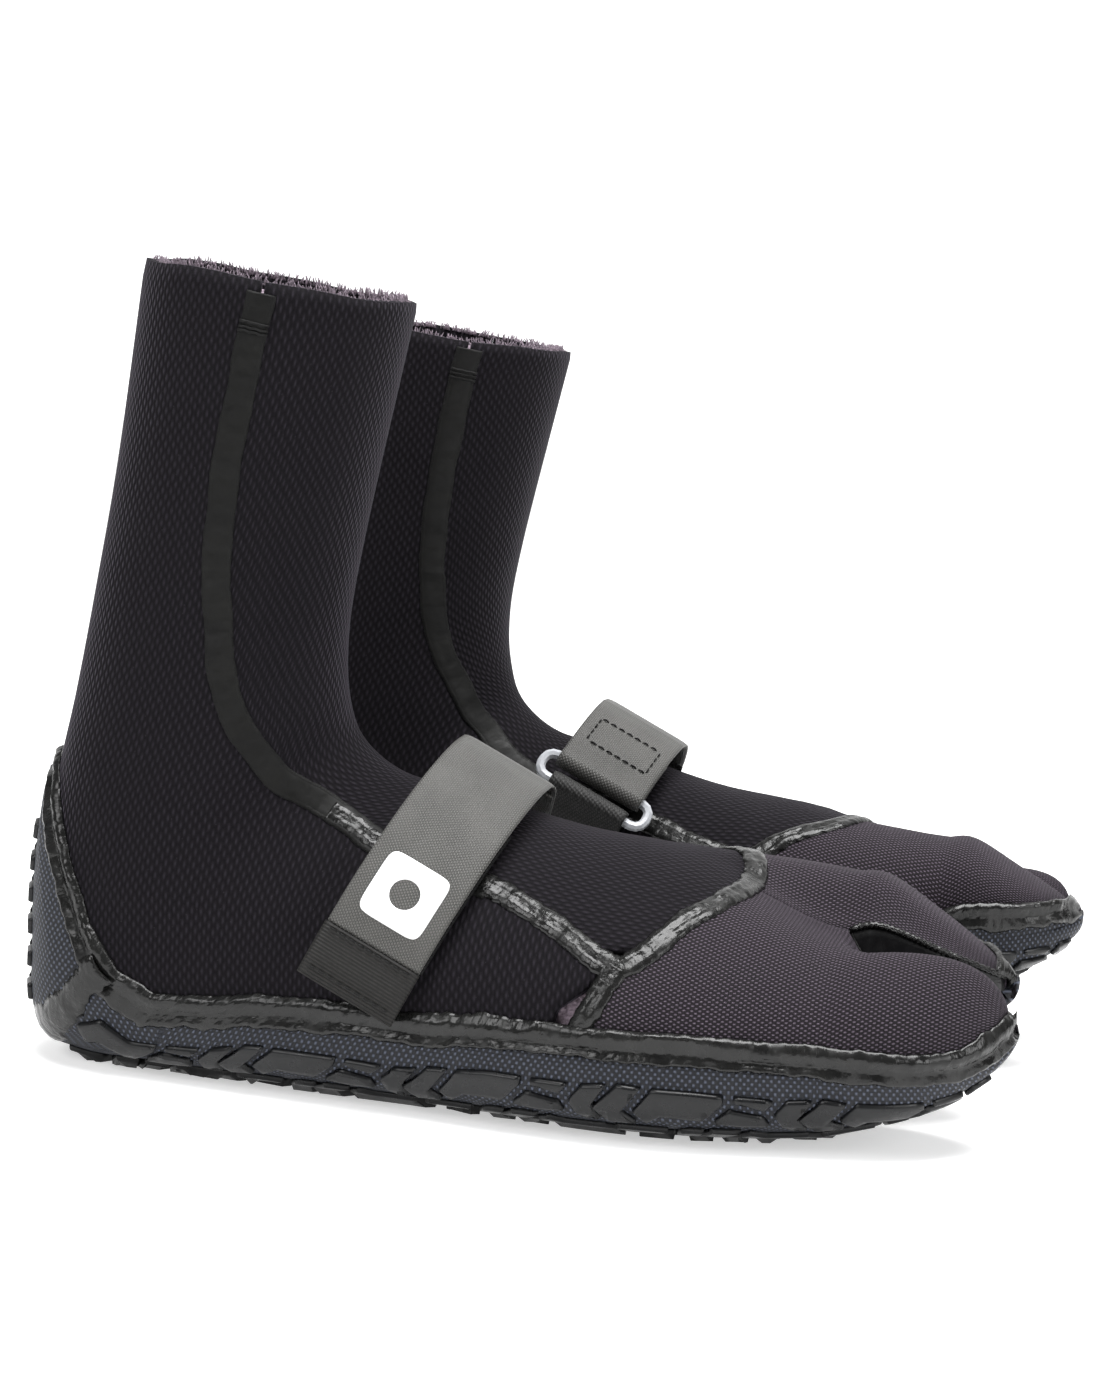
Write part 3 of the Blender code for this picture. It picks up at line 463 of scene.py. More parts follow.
def wander(x, seed, size=1.0):
    """Smooth seeded noise along a line."""
    dice = random.Random(seed)
    total = np.zeros_like(np.asarray(x, float))
    for wave in (31.0, 17.0, 9.3, 5.1, 2.9):
        height = size * dice.uniform(.3, 1) * wave ** .35
        total = total + height * np.sin(x * 2 * math.pi / wave + dice.uniform(0, 6.28))
    return total / 6


def curve_on_skin(curve, steps, span):
    curve = np.array(curve, float)
    p = off(curve[:, 0], curve[:, 1], 0)
    run = np.concatenate([[0], np.cumsum(np.linalg.norm(np.diff(p, axis=0), axis=1))])
    where = np.linspace(span[0] * run[-1], span[1] * run[-1], steps)
    s, u = spline(curve, np.interp(where, run, np.arange(len(curve)))).T
    return s, u, where


def ribbon(boot, name, curve, width, near, profile, look, body, nodes=(), steps=200, span=(0, 1), rough=.35):
    """Strip along a curve of s, u points on the skin. profile: height at each place across, -1 to 1."""
    s, u, where = curve_on_skin(curve, steps, span)
    along, around = slopes(s, u)
    heading = np.gradient(skin(s, u), axis=0)
    across = np.cross(normal(s, u), heading)
    across *= width / 2 / np.linalg.norm(across, axis=1, keepdims=True)
    seed = sum(map(ord, name))
    edges = (1 + rough * wander(where, seed) / 2, 1 + rough * wander(where, seed + 1) / 2)
    spots = np.linspace(-1, 1, len(profile))
    grid_s, grid_u = [], []
    for k in spots:
        reach = k * (edges[0] if k < 0 else edges[1])
        step = np.array([np.linalg.lstsq(np.stack([a, b], 1), r * c, rcond=None)[0]
                         for a, b, c, r in zip(along, around, across, reach)])
        grid_s.append(np.clip(s + step[:, 0], -.99, COLLAR))
        grid_u.append(u + step[:, 1])
    s, u = np.stack(grid_s, 1), np.stack(grid_u, 1)
    lump = 1 + .25 * wander(where, seed + 2)[:, None] * (np.abs(spots) < .9)
    outer = off(s.ravel(), u.ravel(), (near + np.array(profile)[None] * lump).ravel())
    inner = off(s.ravel(), u.ravel(), np.full(s.size, near - .55))
    uv = np.stack(np.broadcast_arrays(spots[None] * width / 2, where[:, None]), -1).reshape(-1, 2)
    points, uv, faces = thicken([outer, inner], uv, quads(*s.shape))
    return add(boot, name, points, faces, uv, look, body, nodes)


def tube_mesh(path, radius, sides=8, closed=False):
    """Points, faces and uv of a round tube along a path; radius may vary along it."""
    path = np.array(path, float)
    radius = np.broadcast_to(radius, len(path))
    ahead = np.gradient(path, axis=0)
    ahead /= np.linalg.norm(ahead, axis=1, keepdims=True) + 1e-9
    side = np.cross(ahead, (.13, .29, .95))
    side /= np.linalg.norm(side, axis=1, keepdims=True) + 1e-9
    up = np.cross(side, ahead)
    turn = np.linspace(0, 2 * math.pi, sides, endpoint=False)
    rings = path[:, None] + radius[:, None, None] * (side[:, None] * np.cos(turn)[None, :, None]
                                                     + up[:, None] * np.sin(turn)[None, :, None])
    rows = len(path)
    faces = [[i * sides + j, i * sides + (j + 1) % sides,
              (i + 1) * sides + (j + 1) % sides, (i + 1) * sides + j]
             for i in range(rows - 1) for j in range(sides)]
    faces += [list(range(sides)), list(range((rows - 1) * sides, rows * sides))]
    run = np.concatenate([[0], np.cumsum(np.linalg.norm(np.diff(path, axis=0), axis=1))])
    uv = np.stack(np.broadcast_arrays(turn[None], run[:, None]), -1).reshape(-1, 2)
    return rings.reshape(-1, 3), faces, uv


def merge(parts):
    """Several meshes as one."""
    points, faces, uvs, count = [], [], [], 0
    for p, f, uv in parts:
        points.append(p)
        uvs.append(uv)
        faces += [[i + count for i in face] for face in f]
        count += len(p)
    return np.vstack(points), faces, np.vstack(uvs)


def stitch_row(points, lift, length=2.1, gap=.75, radius=.28):
    """Stitches along a line of points; lift is the outward direction at each."""
    points, lift = np.array(points, float), np.array(lift, float)
    run = np.concatenate([[0], np.cumsum(np.linalg.norm(np.diff(points, axis=0), axis=1))])
    made = []
    for k in range(int(run[-1] // (length + gap))):
        here = np.linspace(0, length, 7) + k * (length + gap) + gap / 2
        p = np.stack([np.interp(here, run, points[:, i]) for i in range(3)], -1)
        n = np.stack([np.interp(here, run, lift[:, i]) for i in range(3)], -1)
        bow = np.sin(np.linspace(0, math.pi, 7))[:, None]
        made.append(tube_mesh(p + n * (.42 * bow - .12), radius * (.45 + .55 * bow[:, 0]), 6))
    return made
# ---- materials --------------------------------------------------------------------------------

class Graph:
    """Small helper that adds shader nodes and links them."""

    def __init__(self, name, colour, roughness, **shader):
        self.made = bpy.data.materials.new(name)
        self.made.use_nodes = True
        self.tree = self.made.node_tree
        self.shader = self.tree.nodes["Principled BSDF"]
        self.set(self.shader, "Base Color", colour)
        self.set(self.shader, "Roughness", roughness)
        for key, value in shader.items():
            self.set(self.shader, key.replace("_", " "), value)
        uv = self.add("ShaderNodeUVMap")
        uv.uv_map = "mm"
        self.uv = uv.outputs[0]

    def set(self, node, socket, value):
        target = node.inputs[socket]
        if isinstance(value, bpy.types.NodeSocket):
            self.tree.links.new(value, target)
        elif isinstance(value, tuple) and len(value) == 3 and target.type == "RGBA":
            target.default_value = (*value, 1)
        else:
            target.default_value = value

    def add(self, kind, inputs=(), **settings):
        node = self.tree.nodes.new(kind)
        for key, value in settings.items():
            setattr(node, key, value)
        for socket, value in dict(inputs).items():
            self.set(node, socket, value)
        return node

    def math(self, operation, a, b=0.0, c=0.0):
        return self.add("ShaderNodeMath", {0: a, 1: b, 2: c}, operation=operation).outputs[0]

    def axes(self, stretch=(1.0, 1.0), turn=0.0):
        """U and V of the cloth, scaled and turned."""
        mapping = self.add("ShaderNodeMapping", {"Vector": self.uv, "Rotation": (0, 0, turn),
                                                 "Scale": (stretch[0], stretch[1], 1)})
        split = self.add("ShaderNodeSeparateXYZ", {0: mapping.outputs[0]})
        return split.outputs[0], split.outputs[1], mapping.outputs[0]

    def cells(self, pitch_u, pitch_v, turn=0.0):
        """Rows of cells, each row half a cell over from the last: 1 at a cell's middle, 0 between."""
        u, v, _ = self.axes((math.pi / pitch_u, math.pi / pitch_v), turn)
        a, b = self.math("COSINE", u), self.math("COSINE", v)
        both = self.math("MULTIPLY", self.math("MULTIPLY", a, b), 2.0)
        double = self.math("MULTIPLY_ADD", self.math("MULTIPLY", a, a), 2.0, -1.0)
        return self.math("MULTIPLY_ADD", self.math("ADD", both, double), .2222, .3333)

    def dashes(self, pitch_u, pitch_v, turn=0.0):
        """Rows of separate grains, each row half a grain over from the last."""
        u, v, _ = self.axes((math.pi / pitch_u, math.pi / pitch_v), turn)
        a, b = self.math("COSINE", u), self.math("COSINE", v)
        return self.math("POWER", self.math("MAXIMUM", self.math("MULTIPLY", a, b), 0.0), .8)

    def noise(self, scale, detail=2.0, vector=None):
        """Noise with features of about 1/scale millimetres on the cloth."""
        node = self.add("ShaderNodeTexNoise", {"Vector": vector or self.uv, "Scale": scale, "Detail": detail})
        return node.outputs["Fac"]

    def ramp(self, value, *stops):
        node = self.add("ShaderNodeValToRGB", {"Fac": value})
        bar = node.color_ramp
        while len(bar.elements) < len(stops):
            bar.elements.new(.5)
        for element, (position, colour) in zip(bar.elements, stops):
            element.position = position
            element.color = (*colour, 1) if isinstance(colour, tuple) else (colour,) * 3 + (1,)
        return node.outputs["Color"]

    def blend(self, factor, a, b, kind="MIX"):
        node = self.add("ShaderNodeMix", data_type="RGBA", blend_type=kind)
        for socket, value in ((0, factor), (6, a), (7, b)):
            target = node.inputs[socket]
            if isinstance(value, bpy.types.NodeSocket):
                self.tree.links.new(value, target)
            else:
                target.default_value = (*value, 1) if isinstance(value, tuple) else value
        return node.outputs[2]

    def bump(self, height, depth):
        """Relief of that depth in millimetres."""
        below = self.shader.inputs["Normal"]
        node = self.add("ShaderNodeBump", {"Height": height, "Distance": depth * MM, "Strength": 1.0})
        if below.is_linked:
            self.tree.links.new(below.links[0].from_socket, node.inputs["Normal"])
        self.tree.links.new(node.outputs[0], below)

    def colour(self, value):
        self.set(self.shader, "Base Color", value)

    def roughness(self, value):
        self.set(self.shader, "Roughness", value)


def neoprene():
    g = Graph("neoprene jersey", (.01, .009, .011), .85, Sheen_Weight=.07, Sheen_Roughness=.3,
              Sheen_Tint=(.8, .72, .9, 1), Specular_IOR_Level=.1)
    cell = g.cells(1.3, 1.8)
    fibre = g.noise(2.6, 3.0)
    shade = g.ramp(g.math("MULTIPLY_ADD", fibre, .35, g.math("MULTIPLY", cell, .75)),
                   (.1, (.0022, .0018, .0026)), (.55, (.0062, .0052, .0070)), (.95, (.0145, .0125, .0165)))
    fleck = g.ramp(g.noise(1.3, 0.0), (.80, 0.0), (.84, .35))
    g.colour(g.blend(fleck, shade, (.03, .027, .032)))
    g.bump(cell, .3)
    g.bump(fibre, .1)
    g.bump(g.noise(.03, 1.0), 1.4)
    return g.made


def toe_mesh():
    g = Graph("toe mesh", (.03, .025, .03), .8, Sheen_Weight=.06, Sheen_Roughness=.4,
              Sheen_Tint=(.8, .7, .85, 1), Specular_IOR_Level=.15)
    grain = g.dashes(.65, 1.05)
    fibre = g.noise(2.2, 2.0)
    g.colour(g.ramp(g.math("MULTIPLY_ADD", fibre, .25, g.math("MULTIPLY", grain, .85)),
                    (.1, (.006, .0045, .006)), (.35, (.014, .011, .015)), (.95, (.085, .068, .088))))
    g.bump(grain, .3)
    g.bump(fibre, .08)
    return g.made


def sole_knit():
    g = Graph("sole knit", (.02, .022, .03), .6, Specular_IOR_Level=.25)
    grain = g.dashes(1.05, 1.15)
    fibre = g.noise(1.8, 2.0)
    g.colour(g.ramp(g.math("MULTIPLY_ADD", fibre, .25, g.math("MULTIPLY", grain, .85)),
                    (.12, (.006, .0065, .009)), (.4, (.013, .015, .021)), (.97, (.075, .085, .115))))
    g.bump(grain, .4)
    g.bump(fibre, .12)
    return g.made


def smooth_rubber(name, dark, light, rough, relief, shine=.5):
    g = Graph(name, dark, rough, Specular_IOR_Level=shine)
    cloud = g.noise(.09, 4.0)
    g.colour(g.ramp(cloud, (.3, dark), (.75, light)))
    g.roughness(g.ramp(g.noise(.25, 3.0), (.3, rough - .1), (.7, rough + .12)))
    g.bump(g.noise(.5, 3.0), relief)
    return g


def seam_rubber():
    g = smooth_rubber("liquid rubber seam", (.003, .003, .003), (.011, .011, .0105), .24, .3, .3)
    g.bump(g.noise(.12, 2.0), 1.1)
    ghost = g.cells(1.35, 1.75)
    g.bump(ghost, .05)
    return g.made


def tape():
    g = smooth_rubber("seam tape", (.003, .003, .003), (.0055, .0055, .005), .5, .08, .14)
    u, _, _ = g.axes()
    side = g.math("ABSOLUTE", u)
    grit = g.noise(2.2, 3.0)
    near_edge = g.ramp(g.math("MULTIPLY", side, .25), (.72, 0.0), (.98, 1.0))
    g.bump(g.math("MULTIPLY", grit, near_edge), .5)
    g.bump(g.noise(.2, 2.0), .35)
    return g.made


def lug_rubber():
    return smooth_rubber("sole lug rubber", (.0035, .0037, .0043), (.0065, .0068, .0075), .3, .05, .25).made


def gusset_rubber():
    return smooth_rubber("split gusset", (.003, .003, .0033), (.006, .006, .0065), .4, .12, .3).made


def woven(name, dark, light, pitch, rough, turn=0.0):
    g = Graph(name, dark, rough, Sheen_Weight=.05, Sheen_Roughness=.4, Specular_IOR_Level=.3)
    knot = g.cells(pitch, pitch * .8, turn)
    fibre = g.noise(3.0, 2.0)
    worn = g.noise(.06, 3.0)
    g.colour(g.blend(g.ramp(worn, (.3, 0.0), (.75, .35)),
                     g.ramp(g.math("MULTIPLY_ADD", fibre, .2, g.math("MULTIPLY", knot, .85)),
                            (.1, dark), (.9, light)), light))
    g.bump(knot, .16)
    g.bump(fibre, .05)
    return g.made


def ribbed(name, dark, light, pitch):
    g = Graph(name, dark, .55, Specular_IOR_Level=.25)
    _, v, _ = g.axes((1.0, 2 * math.pi / pitch))
    rib = g.math("MULTIPLY_ADD", g.math("SINE", v), .5, .5)
    g.colour(g.blend(g.math("MULTIPLY", rib, g.noise(.7, 2.0)), dark, light))
    g.bump(rib, .2)
    return g.made


def fleece():
    g = Graph("fleece lining", (.09, .08, .095), .95, Sheen_Weight=.2, Sheen_Roughness=.5,
              Sheen_Tint=(.9, .85, .95, 1), Specular_IOR_Level=.1)
    curl = g.noise(.8, 4.0)
    g.colour(g.ramp(curl, (.3, (.09, .07, .085)), (.7, (.40, .32, .38))))
    g.bump(curl, 1.2)
    return g.made


def hook_tape():
    g = Graph("hook and loop", (.012, .012, .013), .7, Specular_IOR_Level=.2)
    dot = g.cells(.8, .8)
    g.colour(g.ramp(dot, (.2, (.003, .003, .003)), (.8, (.014, .014, .015))))
    g.bump(dot, .5)
    return g.made


def plain(name, colour, rough, relief=.03, shine=.4):
    return smooth_rubber(name, colour, tuple(c * 1.15 for c in colour), rough, relief, shine).made


SLOTS = {"lug": "sole_rubber", "mark": "webbing", "rim": "neoprene"}
LOOKS = {
    "neoprene": neoprene(), "toe_mesh": toe_mesh(), "sole_rubber": sole_knit(), "lug": lug_rubber(),
    "seam_rubber": seam_rubber(), "tape": tape(), "gusset": gusset_rubber(), "lining": fleece(),
    "webbing": woven("strap webbing", (.022, .022, .021), (.10, .098, .092), .62, .5),
    "elastic": woven("ring elastic", (.004, .004, .004), (.022, .0215, .021), .75, .6, .4),
    "ribbon": ribbed("ribbed ribbon", (.002, .0018, .0017), (.017, .0155, .0135), .95),
    "hook": hook_tape(),
    "thread": plain("black thread", (.002, .002, .002), .6, .03, .2),
    "ring": plain("moulded ring", (.32, .33, .35), .3),
    "mark": plain("printed mark", (.78, .78, .78), .55),
    "rim": plain("cut foam", (.03, .027, .031), .9, .4),
}
# ---- panels -----------------------------------------------------------------------------------

def panel(boot, name, s, u, look, nodes, rim=False, wrapped=False):
    """Foam panel whose outer edges turn in a little; wrapped means it goes round the heel."""
    rows, cols = s.shape
    drop = np.zeros((rows, cols))
    drop[:, (0, -1)] = -.5
    drop[0] = -.5
    if rim:
        drop[-1] = -.35
    mid = drop * .15
    layers = [off(s.ravel(), u.ravel(), d.ravel()) for d in (mid + drop, np.full((rows, cols), -UPPER))]
    uv = wrap_uv(layers[0]) if wrapped else ring_uv(s, u).reshape(-1, 2)
    points, uv, faces = thicken(layers, uv, quads(rows, cols))
    return add(boot, name, points, faces, uv, look, "boot", nodes)


def rim_wave(u):
    """Uneven cut of the collar, as stations below it."""
    return .012 + .01 * np.sin(2 * np.pi * (u * 3 + .1)) + .006 * np.sin(2 * np.pi * (u * 7 + .4))


def instep_panel(boot):
    s = np.concatenate([[1.66, 1.8, 2.0, 2.3, 2.7, 3.2], np.arange(3.4, COLLAR + .01, .1)])
    v = np.linspace(0, 1, 56)
    low, high = outer_u(s) + SEAM_U, inner_u(s) - SEAM_U
    u = low[:, None] + (high - low)[:, None] * v
    s = np.broadcast_to(s[:, None], u.shape).copy()
    s -= rim_wave(u) * np.clip(s - COLLAR + 1, 0, 1)
    panel(boot, "instep_panel", s, u, "neoprene", ["instep_panel"], True)


def back_panel(boot):
    v = np.linspace(0, 1, 130)
    start_u = inner_u(3.2) + (1 + outer_u(3.0) - inner_u(3.2)) * v
    start = toe_seam_s(start_u) + SEAM_S
    t = np.linspace(0, 1, 150)[:, None]
    s = start + (COLLAR - start) * t
    low, high = inner_u(s) + SEAM_U, 1 + outer_u(s) - SEAM_U
    u = low + (high - low) * v
    s = s - rim_wave(u) * np.clip(s - COLLAR + 1, 0, 1)
    panel(boot, "back_panel", s, u, "neoprene", ["back_panel"], True, True)


def lobed_points(s, u, side, distance, wall=0.0):
    """Points off one side's half of the foot and its lobe; wall turns normals to the split."""
    flat_s, flat_u = s.ravel(), u.ravel()
    n = normal(flat_s, flat_u, side)
    n[:, 1] += np.broadcast_to(wall, s.shape).ravel()
    n /= np.linalg.norm(n, axis=1, keepdims=True)
    return skin(flat_s, flat_u, side) + n * np.broadcast_to(distance, s.shape).reshape(-1, 1)


LOBE_ROWS = -(1 - (1 - np.linspace(0, 1, 46)) ** 2.1) * .9992


def lobe_faces(rows, cols, s, flip):
    faces = quads(rows, cols)
    closed = s[:, 0] <= TIP_CLOSED
    for i in np.nonzero(closed[:-1] & closed[1:])[0]:
        faces.append([i * cols + cols - 1, i * cols, (i + 1) * cols, (i + 1) * cols + cols - 1])
    faces.append([(rows - 1) * cols + j for j in range(cols)])
    return [face[::-1] for face in faces] if flip else faces


def toe_cap(boot):
    meshes = []
    for side in (0, 1):
        u = (np.linspace(U_BOTTOM, U_TOP, 60), np.linspace(U_TOP, 1 + U_BOTTOM, 60))[side]
        start = toe_seam_s(u) - SEAM_S
        tube_rows = np.linspace(1, 0, 26)[:-1, None] * start
        s = np.vstack([tube_rows, np.broadcast_to(LOBE_ROWS[:, None], (len(LOBE_ROWS), len(u)))])
        u = np.broadcast_to(u, s.shape)
        drop = np.zeros(s.shape)
        drop[0] = -.5
        outer = lobed_points(s, u, side, drop)
        inner = lobed_points(s, u, side, -UPPER + .6)
        faces = lobe_faces(*s.shape, s, False)
        points, uv, faces = thicken([outer, inner], cloth_uv(s, u).reshape(-1, 2), faces)
        meshes.append((points, faces, uv))
    points, faces, uv = merge(meshes)
    add(boot, "toe_cap", points, faces, uv, "toe_mesh", "boot", ["toe_cap"])


def toe_gusset(boot):
    """Smooth walls of the split, swollen a little between their edges."""
    q = np.concatenate([np.linspace(-.975, -.05, 34), np.linspace(-.03, .03, 7), np.linspace(.05, .975, 34)])
    v = np.linspace(0, 1, 14)
    outer = []
    for k in q:
        side, t = int(k > 0), np.array([abs(k)])
        low, high = (lobe(side, t, np.array([u]))[0] for u in (U_BOTTOM, U_TOP))
        margin = .3 / (high[2] - low[2])
        wall = low + (high - low) * (margin + (1 - 2 * margin) * v[:, None])
        wall[:, 1] += (-.5, .5)[side] * (1 - (2 * v - 1) ** 2) * -1
        outer.append(wall)
    outer = np.array(outer)
    run = np.concatenate([[0], np.cumsum(np.linalg.norm(np.diff(outer[:, 7], axis=0), axis=1))])
    uv = np.stack(np.broadcast_arrays(v[None] * 30, run[:, None]), -1).reshape(-1, 2)
    n = np.cross(np.gradient(outer, axis=0), np.gradient(outer, axis=1))
    n /= np.linalg.norm(n, axis=-1, keepdims=True)
    inner = outer - n * GUSSET * .8
    points, uv, faces = thicken([outer.reshape(-1, 3), inner.reshape(-1, 3)], uv, quads(len(q), len(v)))
    add(boot, "toe_gusset", points, faces, uv, "gusset", "boot", ["toe_gusset"])


def split_bead(boot):
    """Rubber bead along the top edge of the split, up one lobe, round the crotch and down the other."""
    path, radius = [], []
    for side, run in ((0, np.linspace(.98, .02, 70)), (1, np.linspace(.02, .98, 70))):
        p = lobe(side, run, np.full(70, U_TOP))
        p[:, 2] += .1
        p[:, 1] += (.25, -.25)[side]
        path.append(p)
        thick = (.4, .85)[side] + (.05, .3)[side] * np.sin(run * 190)
        radius.append(thick * np.clip((1 - run) / .08, .35, 1))
    points, faces, uv = tube_mesh(np.vstack(path), np.concatenate(radius), 10)
    add(boot, "split_bead", points, faces, uv, "seam_rubber", "boot")


def lining(boot):
    s = np.linspace(1, COLLAR - .1, 130)
    u = np.linspace(0, 1, 110)
    s, u = np.meshgrid(s, u, indexing="ij")
    s = s - rim_wave(u) * np.clip(s - COLLAR + 1, 0, 1)
    dice = np.random.default_rng(4)
    fluff = dice.uniform(-.25, .25, s.shape)
    fluff[:, -1] = fluff[:, 0]
    layers = [off(s.ravel(), u.ravel(), (d + f).ravel()) for d, f in
              ((-UPPER - .05, 0 * fluff), (-UPPER - 1.9, fluff))]
    points, uv, faces = thicken(layers, cloth_uv(s, u).reshape(-1, 2), quads(*s.shape))
    add(boot, "lining", points, faces, uv, "lining", "boot", ["lining"])


def tufts(boot):
    """Loops of fleece that stand up round the cut edge of the collar."""
    dice = random.Random(7)
    made = []
    for _ in range(1100):
        u = dice.uniform(0, 1)
        depth = -dice.uniform(2.2, 4.9)
        top = COLLAR - float(rim_wave(np.array(u))) - .02
        base = off(np.array([top]), np.array([u]), np.array([depth]))[0]
        lean = np.array([dice.uniform(-1, 1), dice.uniform(-1, 1), 0]) * .9
        height = dice.uniform(.5, 1.9) * (1.3 if depth < -3.0 else .5)
        t = np.linspace(0, 1, 4)[:, None]
        curl = np.array([dice.uniform(-.5, .5), dice.uniform(-.5, .5), 0])
        path = base + np.array([0, 0, -.3]) + t * (lean + [0, 0, height + .3]) + curl * np.sin(t * math.pi)
        made.append(tube_mesh(path, np.array([.2, .24, .2, .08]), 4))
    points, faces, uv = merge(made)
    add(boot, "rim_tufts", points, faces, uv, "lining", "boot")


# ---- sole -------------------------------------------------------------------------------------

BASE = 3.1
HEEL_END_S = 8.0


def settle(points):
    """Presses what lies lowest flat on the floor."""
    points[points[:, 2] < FLAT_BELOW, 2] = 0
    return points


def sole_rows():
    heel = np.concatenate([np.linspace(SOLE_TOP_S, 9.2, 60), np.linspace(9.1, .02, 120)])
    return np.concatenate([heel, LOBE_ROWS])


def sole_uv(s, points, tread):
    """Cloth coordinates of the sole: run round the wall, and up it or in from its lower edge."""
    wrap = wrap_uv(points)
    flat_s = s.ravel()
    last = np.argmin(np.abs(tread.s - HEEL_END_S))
    heel_run = float(np.median(np.abs(wrap[np.abs(flat_s - HEEL_END_S) < .3, 0])))
    run = np.where(flat_s > HEEL_END_S, np.abs(wrap[:, 0]),
                   heel_run + np.interp(-flat_s, -tread.s, tread.run) - tread.run[last])
    half, middle = spline(STATIONS, np.maximum(flat_s, 0))[:, 4:6].T
    inward = np.maximum(half * .9 - np.abs(points[:, 1] - middle), 0) * np.clip((9 - points[:, 2]) / 9, 0, 1)
    return np.stack([run, points[:, 2] - inward], -1)


def outsole(boot):
    meshes = []
    for side in (0, 1):
        bottom = U_BOTTOM + side
        k = np.linspace(0, 1, 44) ** .8
        s = sole_rows()
        reach = np.array([edge(min(row, SOLE_TOP_S), SOLE_LINE, bool(side)) for row in s])
        u = bottom + (reach[:, None] - bottom) * k
        s = np.broadcast_to(s[:, None], u.shape)
        at_wall = (s <= TIP_CLOSED) & ((k == 0) | (np.abs(u - U_TOP) < 1e-6))
        wall = (1, -1)[side] * at_wall
        depth = BASE - (BASE - SOLE_EDGE) * np.clip((k - .8) / .2, 0, 1)
        outer = settle(lobed_points(s, u, side, np.broadcast_to(depth, s.shape), wall))
        inner = lobed_points(s, u, side, .9, wall)
        faces = quads(*s.shape)
        faces.append([(s.shape[0] - 1) * s.shape[1] + j for j in range(s.shape[1])])
        uv = sole_uv(s, outer, TreadMap(side))
        points, uv, faces = thicken([outer, inner], uv, faces)
        meshes.append((points, faces, uv))
    points, faces, uv = merge(meshes)
    add(boot, "outsole", points, faces, uv, "sole_rubber", "boot", ["outsole"])


# Lugs of one repeat of the tread: corners as run, drop below the lugs' top edge
REPEAT = 55.5
TREAD = [
    [(.4, 0), (8.8, .5), (3, 8.2), (7.8, 13.8), (-2.2, 13.7), (-7.2, 7.7)],
    [(9.6, .6), (29.9, 1), (29.9, 4.1), (23.9, 10.7), (12.7, 9.8), (8.5, 13.5), (3.9, 8.2)],
    [(31.2, 1), (44.7, 1.1), (40.5, 5.6), (31.2, 3.9)],
    [(30.4, 4.9), (40.6, 6.8), (42.9, 11.3), (34.4, 12.2), (25.1, 11.1)],
    [(45.9, 1.1), (54.9, .1), (50.5, 6.8), (52.7, 13.3), (47.5, 13.2), (44.2, 11.3), (42, 6.3)],
]
TREAD_HEIGHT = 14.9
GROOVE = 1.5
LUG_START = 5.6


class TreadMap:
    """Turns run along the lugs' top line and drop below it into s, u on one side of the sole."""

    def __init__(self, side):
        self.side = side
        self.s = np.concatenate([np.linspace(9.5, .02, 90), -np.linspace(.02, .985, 40)])
        self.u = []
        self.fall = []
        line = []
        for row in self.s:
            top = edge(row, SOLE_LINE, bool(side))
            u = np.linspace(top, U_BOTTOM + side, 70)
            p = lobed_points(np.full(70, row), u, side, SOLE)
            fall = np.concatenate([[0], np.cumsum(np.linalg.norm(np.diff(p, axis=0), axis=1))])
            self.u.append(u)
            self.fall.append(fall)
            line.append([np.interp(LUG_START + 6, fall, p[:, i]) for i in range(3)])
        step = np.linalg.norm(np.diff(np.array(line), axis=0), axis=1)
        self.run = np.concatenate([[0], np.cumsum(step)])
        self.depth = np.array([fall[-1] for fall in self.fall])

    def room(self, run):
        """Distance from the sole's edge to its centre line."""
        return np.interp(run, self.run, self.depth)

    def find(self, run, drop):
        row = np.interp(run, self.run, np.arange(len(self.s)))
        i = np.minimum(row.astype(int), len(self.s) - 2)
        part = row - i
        low = np.array([np.interp(d, self.fall[k], self.u[k]) for d, k in zip(drop, i)])
        high = np.array([np.interp(d, self.fall[k + 1], self.u[k + 1]) for d, k in zip(drop, i)])
        return np.interp(run, self.run, self.s), low + (high - low) * part


def lug_flat(corners, inset, cut=2.2):
    """Flat lug in the plane, cut into small faces: points, faces, rim edges and outward directions."""
    corners = np.array(corners, float)
    ahead = np.roll(corners, -1, axis=0) - corners
    ahead /= np.linalg.norm(ahead, axis=1, keepdims=True)
    area = np.sum(corners[:, 0] * np.roll(corners[:, 1], -1) - np.roll(corners[:, 0], -1) * corners[:, 1])
    out = np.stack([ahead[:, 1], -ahead[:, 0]], 1) * np.sign(area)
    before = np.roll(out, 1, axis=0)
    mitre = (out + before) / (1 + np.sum(out * before, axis=1))[:, None]
    shrunk = corners - mitre * inset
    work = bmesh.new()
    work.faces.new([work.verts.new((*p, 0)) for p in shrunk])
    low, high = shrunk.min(axis=0), shrunk.max(axis=0)
    for axis in (0, 1):
        for value in np.arange(math.ceil(low[axis] / cut) * cut, high[axis], cut):
            plane = [0.0, 0.0, 0.0]
            direction = [0.0, 0.0, 0.0]
            plane[axis], direction[axis] = float(value), 1.0
            bmesh.ops.bisect_plane(work, geom=work.verts[:] + work.edges[:] + work.faces[:],
                                   plane_co=plane, plane_no=direction)
    work.verts.index_update()
    points = np.array([v.co[:2] for v in work.verts])
    faces = [[v.index for v in face.verts] for face in work.faces]
    work.free()
    push = np.zeros_like(points)
    for a, b, n in zip(shrunk, np.roll(shrunk, -1, axis=0), out):
        t = np.clip(((points - a) @ (b - a)) / np.dot(b - a, b - a), 0, 1)
        on = np.linalg.norm(points - a - t[:, None] * (b - a), axis=1) < 1e-4
        push[on] += n
    length = np.linalg.norm(push, axis=1, keepdims=True)
    push = np.where(length > .1, push / np.maximum(length, .1), 0)
    return points, faces, push


